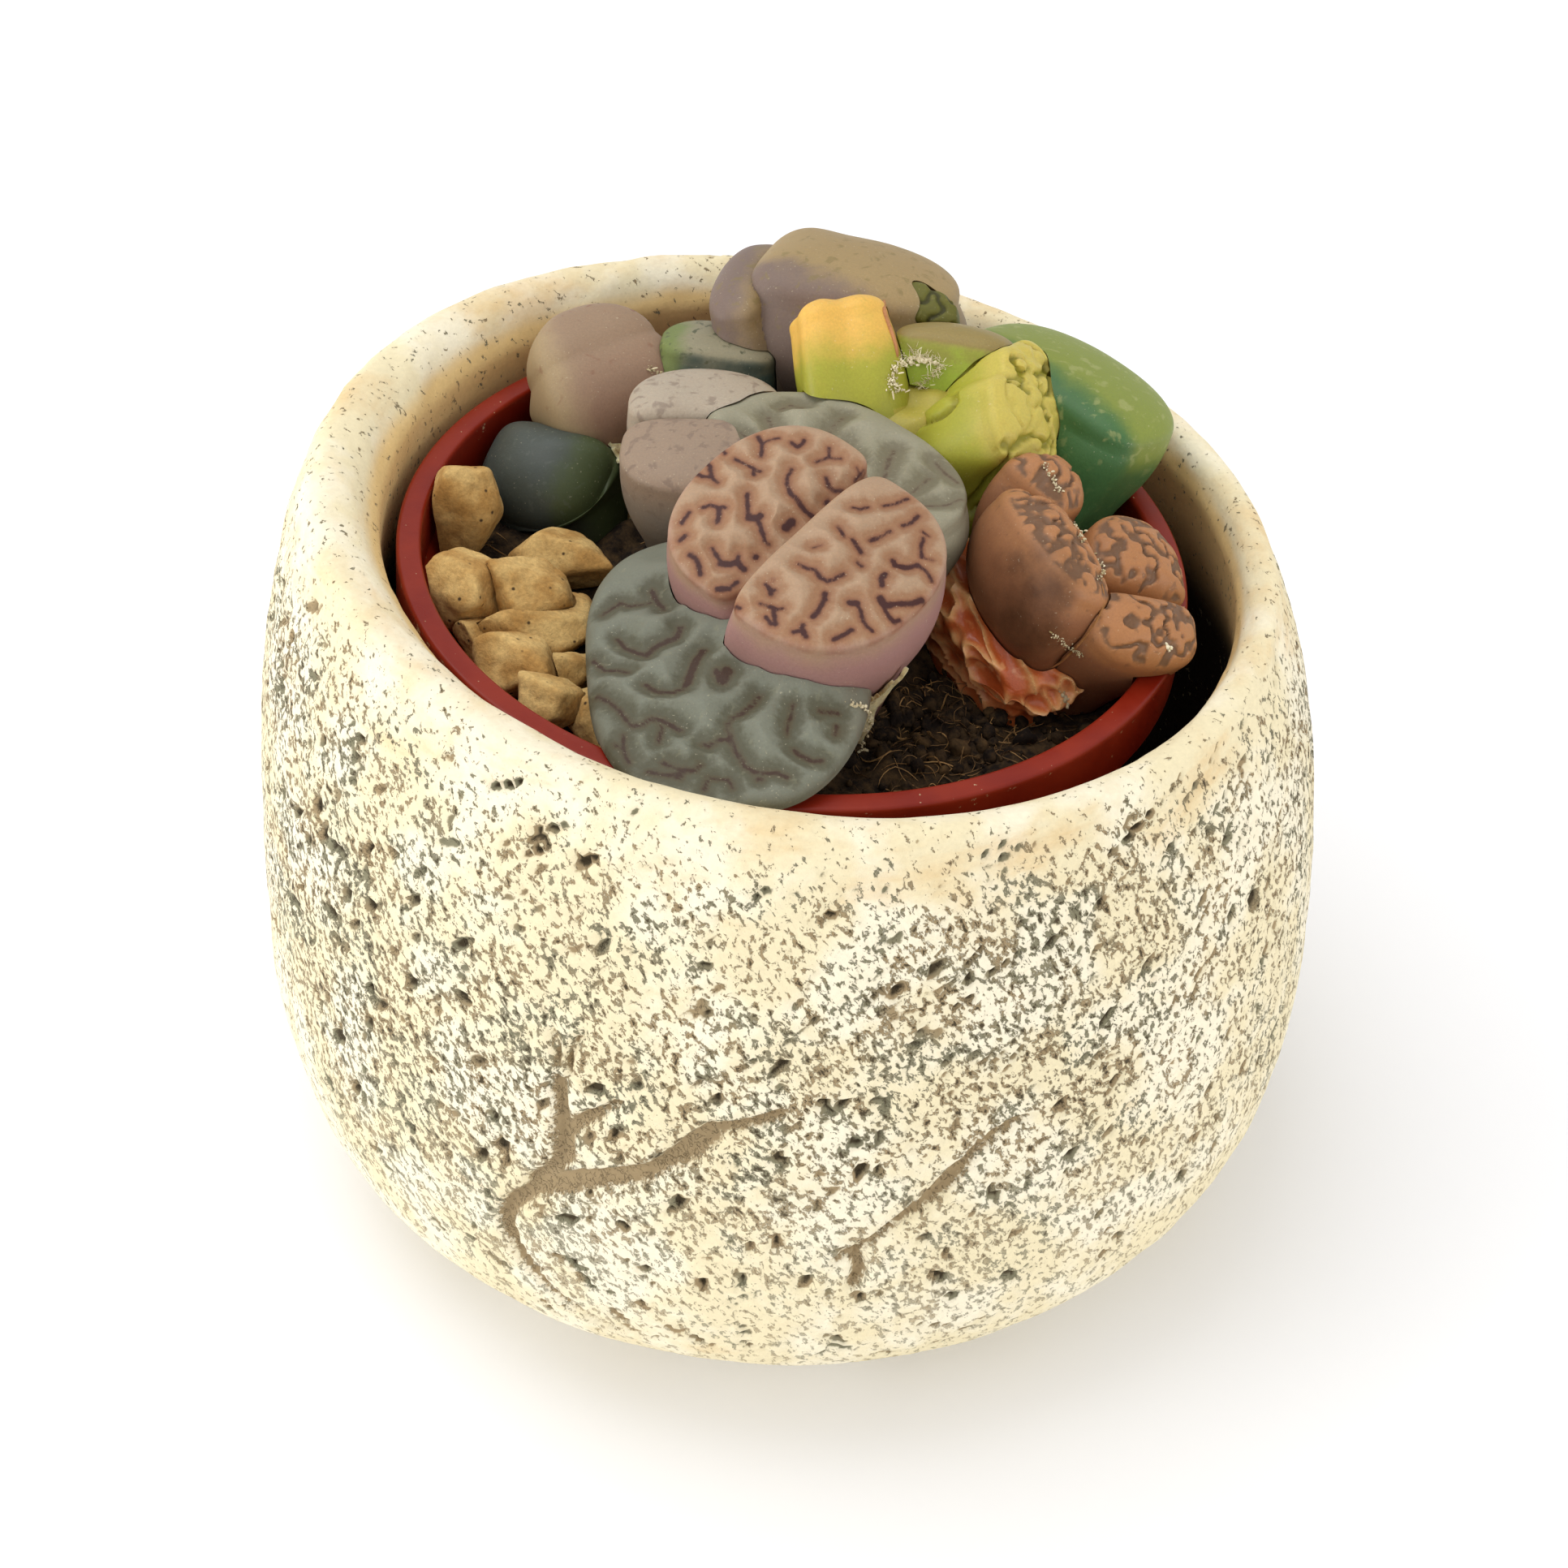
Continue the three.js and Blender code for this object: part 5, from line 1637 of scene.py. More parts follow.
@dataclass
class Cachepot:
    """The stoneware vessel: turned, with a slanted mouth, open pits and the casts of roots."""

    height: float = 55.3
    slant: float = 0.119
    cavity_shift: float = 1.2
    outside: tuple[tuple[float, float], ...] = (
        (23.6, 0), (29, 1.7), (32.4, 4.4), (37.5, 9), (39.25, 16.5), (39.2, 24), (38.6, 33), (37.4, 42),
        (35.6, 49.6), (34, 53.6),
    )
    lip: tuple[tuple[float, float], ...] = (
        (34, 53.6), (33.3, 54.9), (32.1, 55.3), (30.7, 54.6), (29.6, 52.8),
    )
    cavity: tuple[tuple[float, float], ...] = (
        (29.6, 52.8), (29.9, 48), (30.9, 42), (31.4, 35), (31, 27), (28.6, 17.5), (24.6, 10.7),
    )
    floor_radius: float = 62.9
    floor_centre: float = 68.3
    segments: int = 560
    spacing: float = 0.44
    pits: int = 7500
    cast_depth: float = 0.85
    brow_ramp: tuple[float, float] = (3, -5)  # mm from the brow where pits end and where they are full
    foot_ramp: tuple[float, float] = (14, 34)  # mm up the wall where pits are half and fully as dense
    cloud_mm: float = 14  # size of the clouds in which the pits lie
    uneven: float = 0.1  # the wall's own unevenness, in mm, and its size
    uneven_mm: float = 3
    ragged: float = 0.35  # how far the pits' outlines wander, in mm, and over what length
    ragged_mm: float = 1.2
    cast_reach: float = 1.3  # radians to each side of the front that the casts may cover

    def even(self, points: Array) -> Array:
        """Spreads the points of a fine curve evenly, at most spacing apart."""
        run = run_along(points)
        along = np.linspace(0, run[-1], int(run[-1] / self.spacing) + 1)
        return np.stack([np.interp(along, run, points[:, k]) for k in (0, 1)], -1)

    def slanted(self, points: Array) -> Array:
        """Returns the points with the mouth's slant, none at the base."""
        moved = points.copy()
        moved[:, 2] -= self.slant * points[:, 0] * (points[:, 2] / self.height) ** 2
        return moved

    def sighted(self, places: Array, wall: Array) -> Array:
        """Finds where the camera sees places of its frame on the wall.

        Args:
            places: Columns and rows in pixels of the frame.
            wall: [radius, height] of the wall, from the base up.

        Returns:
            Height and compass angle of each place, before the slant.
        """
        found = []
        reach = np.arange(110, 260, 0.05)
        for ray in SIGHT.rays(places):
            way = np.array(SIGHT.eye) + ray * reach[:, None]
            level = way[:, 2].copy()
            for _ in range(4):
                level = way[:, 2] + self.slant * way[:, 0] * (level / self.height) ** 2
            inside = np.hypot(way[:, 0], way[:, 1]) < np.interp(level, wall[:, 1], wall[:, 0])
            first = int(np.argmax(inside & (level > 0) & (level < wall[-1, 1])))
            found.append([level[first], math.atan2(way[first, 1], way[first, 0])])
        return np.array(found)

    def pit_depth(self, round_: Array, run: Array, dense: Array) -> Array:
        """Strews pits over the wall.

        Args:
            round_: Millimetres round the wall at each point of a rows by segments grid.
            run: Millimetres up the wall at each point.
            dense: From 0 to 1, how dense the pits are there.

        Returns:
            Depth of the pits in mm.
        """
        rows, segments = round_.shape
        flat = np.stack([round_.ravel(), run.ravel()], -1)
        bent_x, bent_y = (
            straight + self.ragged * noise(flat, self.ragged_mm, seed, 2).reshape(round_.shape)
            for straight, seed in ((round_, 31), (run, 47))
        )
        depth = np.zeros_like(round_)
        random = np.random.default_rng(7)
        for _ in range(self.pits):
            row, segment = int(random.integers(rows)), int(random.integers(segments))
            big = random.random() ** 4
            length, width = 0.32 + 0.6 * big * random.random() + 0.18 * random.random(), 0.2 + 0.26 * big
            angle = math.radians(random.normal(-60, 30))
            deep = 0.16 + 0.5 * big
            if random.random() > dense[row, segment]:
                continue
            reach = int((length + 0.8) / self.spacing) + 1
            near_rows = np.arange(max(row - reach, 0), min(row + reach + 1, rows))
            near = np.arange(segment - reach, segment + reach + 1) % segments
            window = np.ix_(near_rows, near)
            dx = bent_x[window] - round_[row, segment]
            wrap = round_[row, 1] * segments
            dx = (dx + wrap / 2) % wrap - wrap / 2
            dy = bent_y[window] - run[row, segment]
            along = (dx * math.cos(angle) + dy * math.sin(angle)) / length
            over = (-dx * math.sin(angle) + dy * math.cos(angle)) / width
            stamp = deep * smoothstep(np.hypot(along, over), 1.15, 0.5)
            depth[window] = np.maximum(depth[window], stamp)
        return depth

    def build(self, material: bpy.types.Material) -> bpy.types.Object:
        """Builds the vessel.

        Args:
            material: The stoneware.

        Returns:
            The piece.
        """
        wall = self.even(spline(self.outside, 600))
        lip = self.even(spline(self.lip, 200))[1:]
        outer = np.concatenate([wall, lip])
        rows, segments = len(outer), self.segments
        angle = np.arange(segments) * 2 * math.pi / segments
        run = run_along(outer)
        radius = np.repeat(outer[:, :1], segments, 1)
        round_ = radius * angle
        climb = np.repeat(run[:, None], segments, 1)
        # how densely the wall is pitted: less at the foot, hardly at the lip, and in clouds
        unrolled = np.stack([round_.ravel(), climb.ravel()], -1)
        cloud = noise(unrolled, self.cloud_mm, 3, 2).reshape(round_.shape)
        brow = run[len(wall) - 1]
        none, full = self.brow_ramp
        dense = smoothstep(climb, brow + none, brow + full)
        dense *= 0.5 + 0.5 * smoothstep(climb, *self.foot_ramp)
        dense = np.clip(dense * (0.86 + 0.3 * cloud), 0, 1)
        depth = self.pit_depth(round_, climb, dense)
        # casts of roots, in the plane of the unrolled wall round the front
        groove = np.full(round_.shape, FAR)
        turn = (angle + math.pi / 2 + math.pi) % (2 * math.pi) - math.pi
        front = np.abs(turn) < self.cast_reach
        lines = []
        for places, half in sketch(ROOT_CASTS):
            level, compass = self.sighted(places, wall).T
            there = np.interp(level, wall[:, 1], wall[:, 0])
            up = np.interp(level, wall[:, 1], run[: len(wall)])
            lines.append((np.stack([there * (compass + math.pi / 2), up], -1), half))
        fronts = np.stack([(radius[:, front] * turn[front]).ravel(), climb[:, front].ravel()], -1)
        groove[:, front] = from_lines(fronts, lines).reshape(rows, -1)
        cast = self.cast_depth * smoothstep(groove, 0.3, -0.4)
        depth = np.where(cast > 0.1, cast, depth)
        uneven = self.uneven * noise(unrolled, self.uneven_mm, 11, 2).reshape(round_.shape)
        height = np.repeat(outer[:, 1:], segments, 1)
        points = np.stack([radius * np.cos(angle), radius * np.sin(angle), height], -1).reshape(-1, 3)
        values = {
            "pit": depth.ravel() * (cast.ravel() <= 0.1),
            "groove": groove.ravel(),
            "dense": dense.ravel(),
            "lip": smoothstep(climb, brow - 7, brow + 1).ravel(),
            "inside": smoothstep(climb, run[-1] - 2.2, run[-1]).ravel(),
        }
        # the cavity and the base, coarser
        quarter = segments // 4
        inner = spline(self.cavity, 36)[1:]
        reach = inner[-1, 0] * np.linspace(0.92, 0.08, 9)
        bowl = np.stack([reach, self.floor_centre - np.sqrt(self.floor_radius**2 - reach**2)], -1)
        inner = np.concatenate([inner, bowl])
        wide = np.repeat(inner[:, :1], quarter, 1)
        coarse = np.stack(
            [wide * np.cos(angle[::4]), wide * np.sin(angle[::4]), np.repeat(inner[:, 1:], quarter, 1)], -1
        ).reshape(-1, 3)
        grid = np.arange(rows * segments).reshape(rows, segments)
        beside = np.roll(grid, -1, axis=1)
        faces: list[Sequence[int]] = (
            np.stack([grid[:-1], beside[:-1], beside[1:], grid[1:]], -1).reshape(-1, 4).tolist()
        )
        start = rows * segments
        below = start + np.arange(len(coarse)).reshape(len(inner), quarter)
        next_ = np.roll(below, -1, axis=1)
        faces += np.stack([below[:-1], next_[:-1], next_[1:], below[1:]], -1).reshape(-1, 4).tolist()
        last = grid[-1]
        for k in range(quarter):
            f = [int(last[(4 * k + j) % segments]) for j in range(5)]
            a, b = int(below[0, k]), int(next_[0, k])
            faces += [[f[0], f[1], a], [f[1], f[2], a], [f[2], b, a], [f[2], f[3], b], [f[3], f[4], b]]
        base, middle = start + len(coarse), start + len(coarse) + 1
        faces += [[base, int(b), int(a)] for a, b in zip(grid[0], beside[0])]
        faces += [[middle, int(a), int(b)] for a, b in zip(below[-1], next_[-1])]
        ends = np.array([[0, 0, 0], [0, 0, self.floor_centre - self.floor_radius]])
        extra = len(coarse) + 2
        plain = {"pit": 0.0, "groove": FAR, "dense": 0.1, "lip": 0.35, "inside": 1.0}
        values = {key: np.concatenate([v, np.full(extra, plain[key])]) for key, v in values.items()}
        # painted shade: the cavity darkens toward its floor
        values["inside"][start : start + len(coarse)] += np.repeat(smoothstep(inner[:, 1], 49, 40), quarter)
        made = Surface(np.concatenate([points, coarse, ends]), faces, values)
        raw = made.points[:, 2].copy()
        into = np.concatenate([(uneven - 0.12 - depth).ravel(), np.zeros(extra)])
        into *= smoothstep(np.append(climb.ravel(), np.full(extra, 9.0)), 0.2, 2)
        made.push(into)
        made.points = self.slanted(made.points)
        shift = np.ones(len(made.points))
        shift[:start] = np.clip((climb.ravel() - brow) / (run[-1] - brow), 0, 1)
        shift[base] = 0
        made.points[:, 0] += self.cavity_shift * shift
        made.points[:, 2] = np.where(raw == 0, 0, made.points[:, 2])
        piece = made.piece("cachepot_stoneware")
        finish_piece(piece, material, ["cachepot"], crease=75)
        return piece


# ---- nursery pot and peat


@dataclass(frozen=True)
class NurseryPlastic:
    """Moulded polypropylene, thin and red-brown: a soft sheen, scuffed pale along the rim's edge."""

    name: str = "moulded_polypropylene_terracotta"
    body: str = "#7a1a0a"
    worn: str = "#8c2812"
    dust: str = "#b89a7c"
    cloud_mm: float = 5.556
    speck_mm: float = 0.4167
    scuff_mm: float = 2.381
    roughness: float = 0.33

    def build(self) -> bpy.types.Material:
        """Returns the material."""
        s = Shader(self.name)
        place = s.add("TexCoord").outputs["Object"]
        edge = s.add("Attribute", attribute_name="edge").outputs["Fac"]
        cloud = s.add(
            "TexNoise", {"Vector": place, "Scale": pitch(self.cloud_mm), "Detail": 4.0, "Roughness": 0.6}
        )
        fine = s.add("TexNoise", {"Vector": place, "Scale": pitch(self.speck_mm), "Detail": 2.0})
        share = s.add("MapRange", {0: cloud, 1: 0.35, 2: 0.7})
        colour = s.add("Mix", {0: share, 6: linear(self.body), 7: linear(self.worn)}, **RGBA)
        specks = s.add("MapRange", {0: fine, 1: 0.73, 2: 0.77}, **SMOOTH)
        scuff = s.add(
            "TexNoise", {"Vector": place, "Scale": pitch(self.scuff_mm), "Detail": 5.0, "Roughness": 0.75}
        )
        scuff = s.add("Math", {0: edge, 1: 0.25, 2: scuff}, **TIMES_PLUS)
        scuff = s.add("MapRange", {0: scuff, 1: 0.8, 2: 0.86}, **SMOOTH)
        dusty = s.add("Math", {0: specks, 1: scuff}, operation="MAXIMUM")
        colour = s.add("Mix", {0: dusty, 6: colour, 7: linear(self.dust)}, **RGBA)
        rough = s.add(
            "MapRange", {0: cloud, 1: 0.3, 2: 0.7, 3: self.roughness - 0.06, 4: self.roughness + 0.14}
        )
        bump = s.add("Bump", {"Height": fine, "Strength": 0.15, "Distance": 0.05 * MM})
        return s.finish(Base_Color=colour, Roughness=rough, Normal=bump, Specular_IOR_Level=0.25)


@dataclass
class NurseryPot:
    """The thin plastic pot inside, slightly tipped, with a rim band and drain holes."""

    rim_z: float = 51.9
    tip: float = math.atan(0.073)
    rim_radius: float = 27.5
    rim_width: float = 1.7
    rim_depth: float = 4.6
    neck_radius: float = 25.9
    base_radius: float = 19
    depth: float = 43
    wall: float = 0.9
    corner: float = 0.6
    drain_radius: float = 1.8
    drain_ring: float = 10.5
    drains: int = 5
    segments: int = 220

    def placed(self, points: Array) -> Array:
        """Moves points from the pot's own frame, z = 0 at the rim, to the model's."""
        c, s = math.cos(self.tip), math.sin(self.tip)
        turn = np.array([[c, 0, s], [0, 1, 0], [-s, 0, c]])
        return points @ turn.T + self.rim_z * UP

    def arc(self, centre: tuple[float, float], radius: float, start: float, end: float) -> list[list[float]]:
        """Returns a few points of a rounded edge.

        Args:
            centre: Radius and height of the arc's centre.
            radius: Its own radius.
            start: First angle in degrees from outward.
            end: Last angle.
        """
        turns = np.radians(np.linspace(start, end, 5))
        return [[centre[0] + radius * math.cos(a), centre[1] + radius * math.sin(a)] for a in turns]

    def build(self, material: bpy.types.Material) -> bpy.types.Object:
        """Builds the pot.

        Args:
            material: The plastic.

        Returns:
            The piece.
        """
        inside, ease, d, w = self.rim_radius - self.rim_width, 0.3, self.depth, self.wall
        profile = [[0, -d], [self.base_radius - self.corner, -d]]
        profile += [[self.base_radius, self.corner - d], [self.neck_radius, -self.rim_depth - 0.5]]
        profile += [[self.rim_radius - ease, -self.rim_depth]]
        profile += [[self.rim_radius, h] for h in np.linspace(ease - self.rim_depth, -2 * ease, 5)]
        profile += self.arc((self.rim_radius - ease, -ease), ease, 0, 90)
        profile += self.arc((inside + ease, -ease), ease, 90, 180)
        profile += [[inside, h] for h in np.linspace(-2 * ease, -self.rim_depth, 5)]
        profile += [[self.neck_radius - w, -self.rim_depth - 1]]
        profile += [[self.base_radius - w, w + self.corner - d], [self.base_radius - w - self.corner, w - d]]
        profile += [[0, w - d]]
        points, faces, _ = turned(np.array(profile, float), self.segments)
        middle = abs(np.hypot(points[:, 0], points[:, 1]) - self.rim_radius + self.rim_width / 2)
        edge = smoothstep(middle, 0.45 * self.rim_width, 0.52 * self.rim_width) * (points[:, 2] > -1.2)
        piece = Surface(self.placed(points), faces, {"edge": edge}).piece("nursery_pot_plastic")
        holes = []
        for i in range(self.drains):
            angle = 2 * math.pi * i / self.drains
            reach = self.drain_radius
            column = np.array([[0, -2 * w], [reach, -2 * w], [reach, 2 * w], [0, 2 * w]])
            ring, sides, _ = turned(column, 40)
            at = [self.drain_ring * math.cos(angle), self.drain_ring * math.sin(angle), -d]
            holes.append(Surface(self.placed(ring + at), sides).piece("drain"))
        combine(piece, holes, Join.CUT)
        for hole in holes:
            remove(hole)
        finish_piece(piece, material, ["nursery_pot"], crease=35)
        return piece

    def rim_room(self) -> bpy.types.Object:
        """Returns the space round the rim that no leaf or pebble enters."""
        gap = CONTACT
        inner, outer, low = self.rim_radius - self.rim_width - gap, self.rim_radius + gap, -2 * self.rim_depth
        slope = (self.neck_radius - self.base_radius) / (self.depth - self.rim_depth - 0.5)
        neck = self.neck_radius - self.wall - gap
        ring = np.array([
            [neck - slope * (self.rim_depth - 1), low], [outer, low], [outer, gap], [inner, gap],
            [neck, -self.rim_depth - 1],
        ])
        count, segments = len(ring), 96
        angle = np.arange(segments) * 2 * math.pi / segments
        points = np.stack([
            np.outer(ring[:, 0], np.cos(angle)), np.outer(ring[:, 0], np.sin(angle)),
            np.repeat(ring[:, 1:], segments, 1),
        ], -1).reshape(-1, 3)
        grid = np.arange(count * segments).reshape(count, segments)
        beside = np.roll(grid, -1, axis=1)
        faces = np.stack([grid, beside, np.roll(beside, -1, axis=0), np.roll(grid, -1, axis=0)], -1)
        return Surface(self.placed(points), faces.reshape(-1, 4).tolist()).piece("room")


@dataclass(frozen=True)
class PlantLitter:
    """Dead plant matter in small bits, dull and rough, each bit with a tone between dark and light."""

    name: str
    dark: str
    light: str
    roughness: float = 0.95
    crumb_mm: float = 1.111

    def build(self) -> bpy.types.Material:
        """Returns the material."""
        s = Shader(self.name)
        place = s.add("TexCoord").outputs["Object"]
        tone = s.add("Attribute", attribute_name="tone").outputs["Fac"]
        patch = s.add(
            "TexNoise", {"Vector": place, "Scale": pitch(self.crumb_mm), "Detail": 4.0, "Roughness": 0.7}
        )
        share = s.add("Math", {0: patch, 1: -0.5}, operation="ADD")
        share = s.add("Math", {0: share, 1: 1.2, 2: tone}, **TIMES_PLUS, use_clamp=True)
        colour = s.add("Mix", {0: share, 6: linear(self.dark), 7: linear(self.light)}, **RGBA)
        bump = s.add("Bump", {"Height": patch, "Strength": 0.8, "Distance": 0.3 * MM})
        return s.finish(Base_Color=colour, Roughness=self.roughness, Normal=bump, Specular_IOR_Level=0.25)


# sphagnum rotted nearly black and kept damp, which swallows the light
DAMP_PEAT = PlantLitter("damp_peat", "#1e1610", "#84663f")
# stems that have not rotted, dry on top: brown to straw, with a faint sheen
PEAT_FIBRE = PlantLitter("peat_fibre", "#3a2818", "#b48c58", 0.7)
# shreds of an old leaf's papery skin, bleached as they dry
TORN_FIBRE = PlantLitter("torn_leaf_fibre", "#a08c5c", "#efe4c4", 0.75)
# the thickened, browned edge where a leaf's skin has torn
TORN_EDGE = PlantLitter("torn_leaf_edge", "#8a6030", "#cf8f62", 0.6)


@dataclass
class Soil:
    """The peat in the nursery pot: one lumpy body, with crumbs and fibres lying on it."""

    pot: NurseryPot
    below: float = 5.5
    lumps: float = 0.55
    segments: int = 300
    rings: int = 100
    crumbs: int = 520
    fibres: int = 420

    def reach(self, height: float) -> float:
        """Returns the radius of the peat at a height in the pot's frame."""
        pot = self.pot
        slope = (pot.neck_radius - pot.base_radius) / (pot.depth - pot.rim_depth - 0.5)
        return pot.base_radius - pot.wall - 0.45 + slope * (height + pot.depth - pot.corner)

    def height(self, x: Array, y: Array) -> Array:
        """Height of the surface in the pot's frame.

        Args:
            x: Places across, in mm.
            y: Places toward the back.

        Returns:
            Millimetres from the rim, below 0.
        """
        share = np.minimum(np.hypot(x, y) / self.reach(-self.below), 1)
        broad = np.sin(x * 0.83 + 1.1) * np.sin(y * 0.71 + 0.4) + 0.6 * np.sin(x * 1.7 - y * 1.3)
        rough = noise(np.stack([x, y], -1), 2.4, 5, 4)
        return -self.below + (self.lumps * broad + 0.5 * rough) * (1 - share**4)

    def build(self, material: bpy.types.Material, rooms: list[bpy.types.Object]) -> bpy.types.Object:
        """Builds the body of peat, with holes for what is rooted in it.

        Args:
            material: The peat.
            rooms: What stands in it.

        Returns:
            The piece.
        """
        bottom = -self.pot.depth + self.pot.wall + 0.3
        top = self.reach(-self.below)
        profile = [[0, bottom], [self.reach(bottom) - 0.6, bottom], [self.reach(bottom), bottom + 0.6]]
        profile += [[self.reach(h), h] for h in np.linspace(bottom + 2, -self.below - 1.2, 8)]
        profile += [[top * s, -self.below] for s in np.linspace(1, 0, self.rings + 1)]
        points, faces, _ = turned(np.array(profile), self.segments)
        upper = points[:, 2] >= -self.below - 1e-6
        points[upper, 2] = self.height(points[upper, 0], points[upper, 1])
        tone = np.full(len(points), 0.12)
        piece = Surface(self.pot.placed(points), faces, {"tone": tone}).piece("peat_body")
        near = [room for room in rooms if touching(piece, room)]
        combine(piece, near, Join.CUT)
        keep_largest(piece)
        finish_piece(piece, material, ["soil"], crease=80)
        return piece

    def strewn(self, count: int, seed: int) -> tuple[Array, np.random.Generator]:
        """Picks places on the peat, most of them where it lies open at the front right.

        Args:
            count: How many places.
            seed: Chooses them.

        Returns:
            The places in the pot's frame, and the generator for what else is drawn.
        """
        random = np.random.default_rng(seed)
        radius = (self.reach(-self.below) - 1.2) * np.sqrt(random.random(count))
        angle = random.random(count) * 2 * math.pi
        open_ = random.random(count) < 0.6
        angle = np.where(open_, random.normal(math.radians(-52), 0.42, count), angle)
        radius = np.where(open_, 12 + 11.5 * random.random(count), radius)
        x, y = radius * np.cos(angle), radius * np.sin(angle)
        return np.stack([x, y, self.height(x, y)], -1), random

    def strew_crumbs(self, material: bpy.types.Material) -> None:
        """Builds the loose crumbs.

        Args:
            material: The peat.
        """
        places, random = self.strewn(self.crumbs, 11)
        pile = Pile()
        for i, place in enumerate(places):
            size = 0.15 + 0.6 * random.random() ** 2.5
            shape = size * (0.6 + 0.6 * random.random(3))
            tone = 0.04 + 0.4 * random.random() ** 4
            pile.lump(self.pot.placed(place + [0, 0, 0.35 * size]), shape, 60 + i, tone)
        pile.build("peat_crumbs", material, "peat")

    def strew_fibres(self, material: bpy.types.Material) -> None:
        """Builds the fibres, each a thin bent strand.

        Args:
            material: The fibres.
        """
        places, random = self.strewn(self.fibres, 23)
        pile = Pile()
        along = np.linspace(-1, 1, 9)
        limit = self.reach(-self.below) - 0.6
        for place in places:
            length = 0.8 + 3.4 * random.random() ** 1.7
            turn = random.random() * 2 * math.pi + random.normal(0, 0.9) * along
            step = np.stack([np.cos(turn), np.sin(turn)], -1) * length / len(along)
            line = place[:2] + np.cumsum(step, 0) - step.sum(0) / 2
            line *= np.minimum(1, limit / np.maximum(np.linalg.norm(line, axis=1), 1e-6))[:, None]
            lift = 0.05 + (0.1 + 0.7 * random.random() ** 3) * (1 - along**2)
            height = self.height(line[:, 0], line[:, 1]) + lift
            centre = self.pot.placed(np.concatenate([line, height[:, None]], 1))
            pile.strand(centre, 0.025 + 0.05 * random.random() ** 3, random.random() ** 1.2)
        pile.build("peat_fibres", material, "peat")


# ---- small things on the leaves


@dataclass(frozen=True)
class Tuft:
    """Fluff, flakes or a dry edge, laid where the camera sees a line of its frame."""

    line: str  # columns and rows in pixels of the frame
    strands: int = 0
    lumps: int = 0
    length: float = 0.8
    thick: float = 0.03
    spread: float = 0.3
    edge: float = 0  # half width of a strand along the whole line
    tone: tuple[float, float] = (0.3, 1)

    def lay(self, pile: Pile, seed: int) -> None:
        """Adds the tuft to a pile.

        Args:
            pile: The pile.
            seed: Chooses the strands.
        """
        random = np.random.default_rng(seed)
        (places, _), = sketch("0: " + self.line)
        run = run_along(places)
        count = max(24, self.strands + self.lumps)
        at = np.linspace(0, run[-1], count)
        seen = SIGHT.seen(np.stack([np.interp(at, run, places[:, k]) for k in (0, 1)], -1))
        low, high = self.tone
        if self.edge:
            padded, mean = np.pad(seen, ((2, 2), (0, 0)), "edge"), np.full(5, 0.2)
            smooth = np.stack([np.convolve(column, mean, "valid") for column in padded.T], -1)
            pile.strand(smooth, self.edge, low, 6)
        for _ in range(self.strands):
            start = seen[random.integers(count)] + self.spread * random.normal(size=3) * [1, 1, 0.4]
            way = unit(random.normal(size=3) + 0.5 * UP)
            bend = 0.5 * random.normal(size=3)
            along = np.linspace(0, self.length * (0.4 + 0.6 * random.random()), 7)[:, None]
            tone = low + (high - low) * random.random()
            pile.strand(start + along * way + along**2 * bend, self.thick, tone)
        for i in range(self.lumps):
            start = seen[random.integers(count)] + self.spread * random.normal(size=3) * [1, 1, 0.3]
            size = self.thick * (0.6 + random.random(3))
            pile.lump(start, size, seed * 50 + i, low + (high - low) * random.random())


FLUFF = [
    Tuft("1104,450 1112,443 1122,439 1134,437 1150,442 1160,450", 260, 60, 0.7, 0.022, 0.3, tone=(0.7, 1)),
    Tuft("1108,446 1120,443 1134,441 1148,445", 0, 60, 0.7, 0.14, 0.22, tone=(0.8, 1)),
    Tuft("1158,452 1148,463 1136,478", 140, 20, 0.6, 0.022, 0.2, tone=(0.6, 1)),
    Tuft("1102,452 1098,464 1100,478 1108,482", 60, 60, 0.5, 0.07, 0.22, tone=(0.5, 1)),
    Tuft("1287,572 1292,582 1298,594 1308,606", 14, 40, 0.4, 0.07, 0.14, tone=(0.2, 0.8)),
    Tuft("1322,644 1330,654 1334,668", 10, 26, 0.4, 0.07, 0.12, tone=(0.2, 0.8)),
    Tuft("1350,680 1357,700 1354,716", 12, 26, 0.4, 0.07, 0.12, tone=(0.2, 0.8)),
    Tuft("1298,780 1310,790 1322,800 1336,808", 24, 50, 0.4, 0.06, 0.2, tone=(0.1, 0.6)),
    Tuft("794,452 804,456 812,462", 10, 16, 0.4, 0.07, 0.12, tone=(0.2, 0.6)),
    Tuft("1436,792 1440,800", 0, 12, 0.3, 0.11, 0.08, tone=(0.8, 1)),
    Tuft("1048,864 1064,872 1072,884 1066,904 1060,926", 10, 60, 0.5, 0.1, 0.16, tone=(0.3, 0.8)),
    Tuft("1306,852 1314,862 1318,872", 0, 10, 0.3, 0.14, 0.12, tone=(0.4, 0.8)),
]
EDGES = [
    Tuft("1357,716 1362,744 1346,776 1324,800 1303,821 1290,824", edge=0.1, tone=(0.25, 0.3)),
    Tuft("1090,368 1088,380 1093,396 1099,412 1104,428 1106,442", edge=0.2, tone=(0.55, 0.6)),
]


# ---- studio


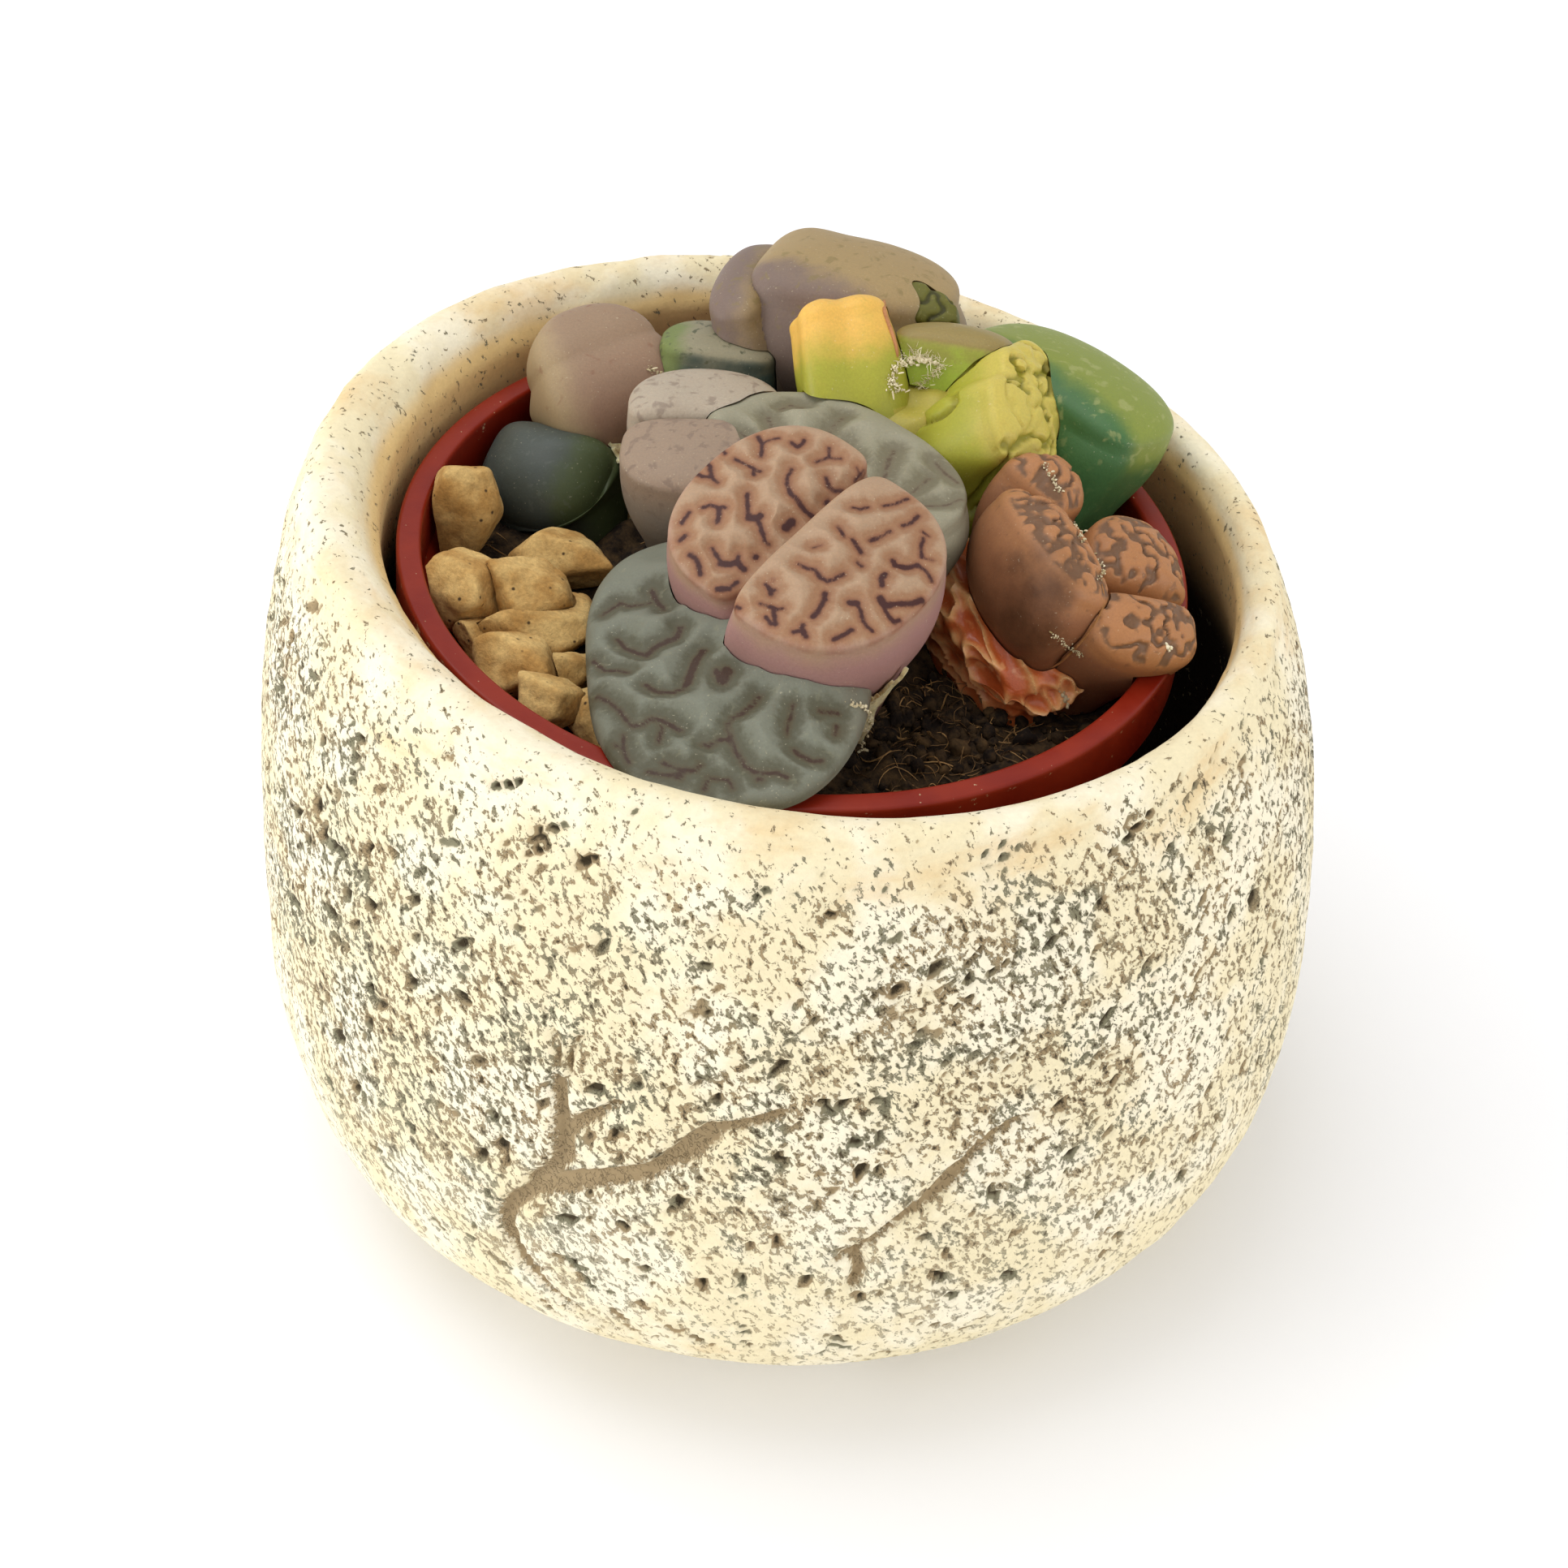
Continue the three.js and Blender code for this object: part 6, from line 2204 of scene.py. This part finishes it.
@dataclass
class Studio:
    """A plain pale floor under soft light from the upper left."""

    floor_size: float = 4.0
    floor: str = "#f6f6f8"
    ambient: tuple[float, float] = (0.72, 0.85)  # light from the horizon and from overhead
    lamps: tuple[tuple[Point, float, float], ...] = (  # place in m, size in m, power in W
        ((-0.18, 0.08, 0.6), 0.5, 1.4),
        ((-0.62, -0.22, 0.1), 0.45, 2.8),
        ((0.52, -0.42, 0.12), 0.45, 1.6),
    )
    aim: Point = (0, 0, 0.04)

    def make_floor(self) -> None:
        """Makes the floor."""
        half = self.floor_size / 2
        mesh = bpy.data.meshes.new("floor")
        around = [(-half, -half, 0), (half, -half, 0), (half, half, 0), (-half, half, 0)]
        mesh.from_pydata(around, [], [(0, 1, 2, 3)])
        floor = bpy.data.objects.new("floor", mesh)
        bpy.context.scene.collection.objects.link(floor)
        s = Shader("matt_white_board")
        board = s.finish(Base_Color=linear(self.floor), Roughness=0.9, Specular_IOR_Level=0.2)
        floor.data.materials.append(board)

    def make_light(self) -> None:
        """Makes the lamps and the light of the room."""
        s = Shader("room_light", bpy.data.worlds)
        way = s.add("TexCoord").outputs["Generated"]
        height = s.add("SeparateXYZ", {0: way}).outputs["Z"]
        low, high = self.ambient
        strength = s.add("MapRange", {0: height, 1: 0.0, 2: 0.8, 3: low, 4: high})
        light = s.add("Background", {"Color": (1, 1, 1, 1), "Strength": strength})
        s.add("OutputWorld", {"Surface": light})
        bpy.context.scene.world = s.owner
        for i, (place, size, power) in enumerate(self.lamps):
            data = bpy.data.lights.new(f"softbox_{i + 1}", "AREA")
            data.shape, data.size, data.energy = "DISK", size, power
            lamp = bpy.data.objects.new(f"softbox_{i + 1}", data)
            bpy.context.scene.collection.objects.link(lamp)
            back = unit(np.array(place) - np.array(self.aim))
            right = unit(np.cross(UP, back))
            placed = np.eye(4)
            placed[:3, :3] = np.stack([right, np.cross(back, right), back], -1)
            placed[:3, 3] = place
            lamp.matrix_world = Matrix(placed.tolist())


def main() -> None:
    """Builds the planting, dresses it and lights it."""
    logging.basicConfig(level=logging.INFO, format="%(message)s")
    SIGHT.make()
    studio = Studio()
    studio.make_floor()
    studio.make_light()
    bpy.context.scene.view_settings.view_transform = "Standard"

    Cachepot().build(CastStoneware().build())
    pot = NurseryPot()
    pot.build(NurseryPlastic().build())

    rooms = [pot.rim_room()]
    for plant in PLANTS:
        plant.build(rooms)
    by_name = {plant.name: plant for plant in PLANTS}
    paper = DrySheath().build()
    for sheath in (
        Sheath("sheath_pink", by_name["pink_pair"].leaves[1], 28, 84, (0.56, 0.28), 0.04),
        Sheath("sheath_slate", by_name["slate_leaf"].leaves[0], -156, -80, (-0.02, -0.12), 0.03),
        Sheath("sheath_brown", by_name["brown_pair_left"].leaves[1], -150, -40, (0.1, 0.02), 0.02),
    ):
        sheath.build(paper)
    stone = QuartzGrit().build()
    for pebble in PEBBLES:
        pebble.build(stone, rooms)
    soil = Soil(pot)
    peat = DAMP_PEAT.build()
    soil.build(peat, rooms)
    soil.strew_crumbs(peat)
    soil.strew_fibres(PEAT_FIBRE.build())
    for room in rooms:
        remove(room)
    fluff, edges = Pile(), Pile()
    for i, tuft in enumerate(FLUFF):
        tuft.lay(fluff, i)
    for i, tuft in enumerate(EDGES):
        tuft.lay(edges, i)
    fluff.build("torn_skin_fluff", TORN_FIBRE.build(), "dry_sheath")
    edges.build("torn_skin_edges", TORN_EDGE.build(), "dry_sheath")


if __name__ == "__main__":
    main()
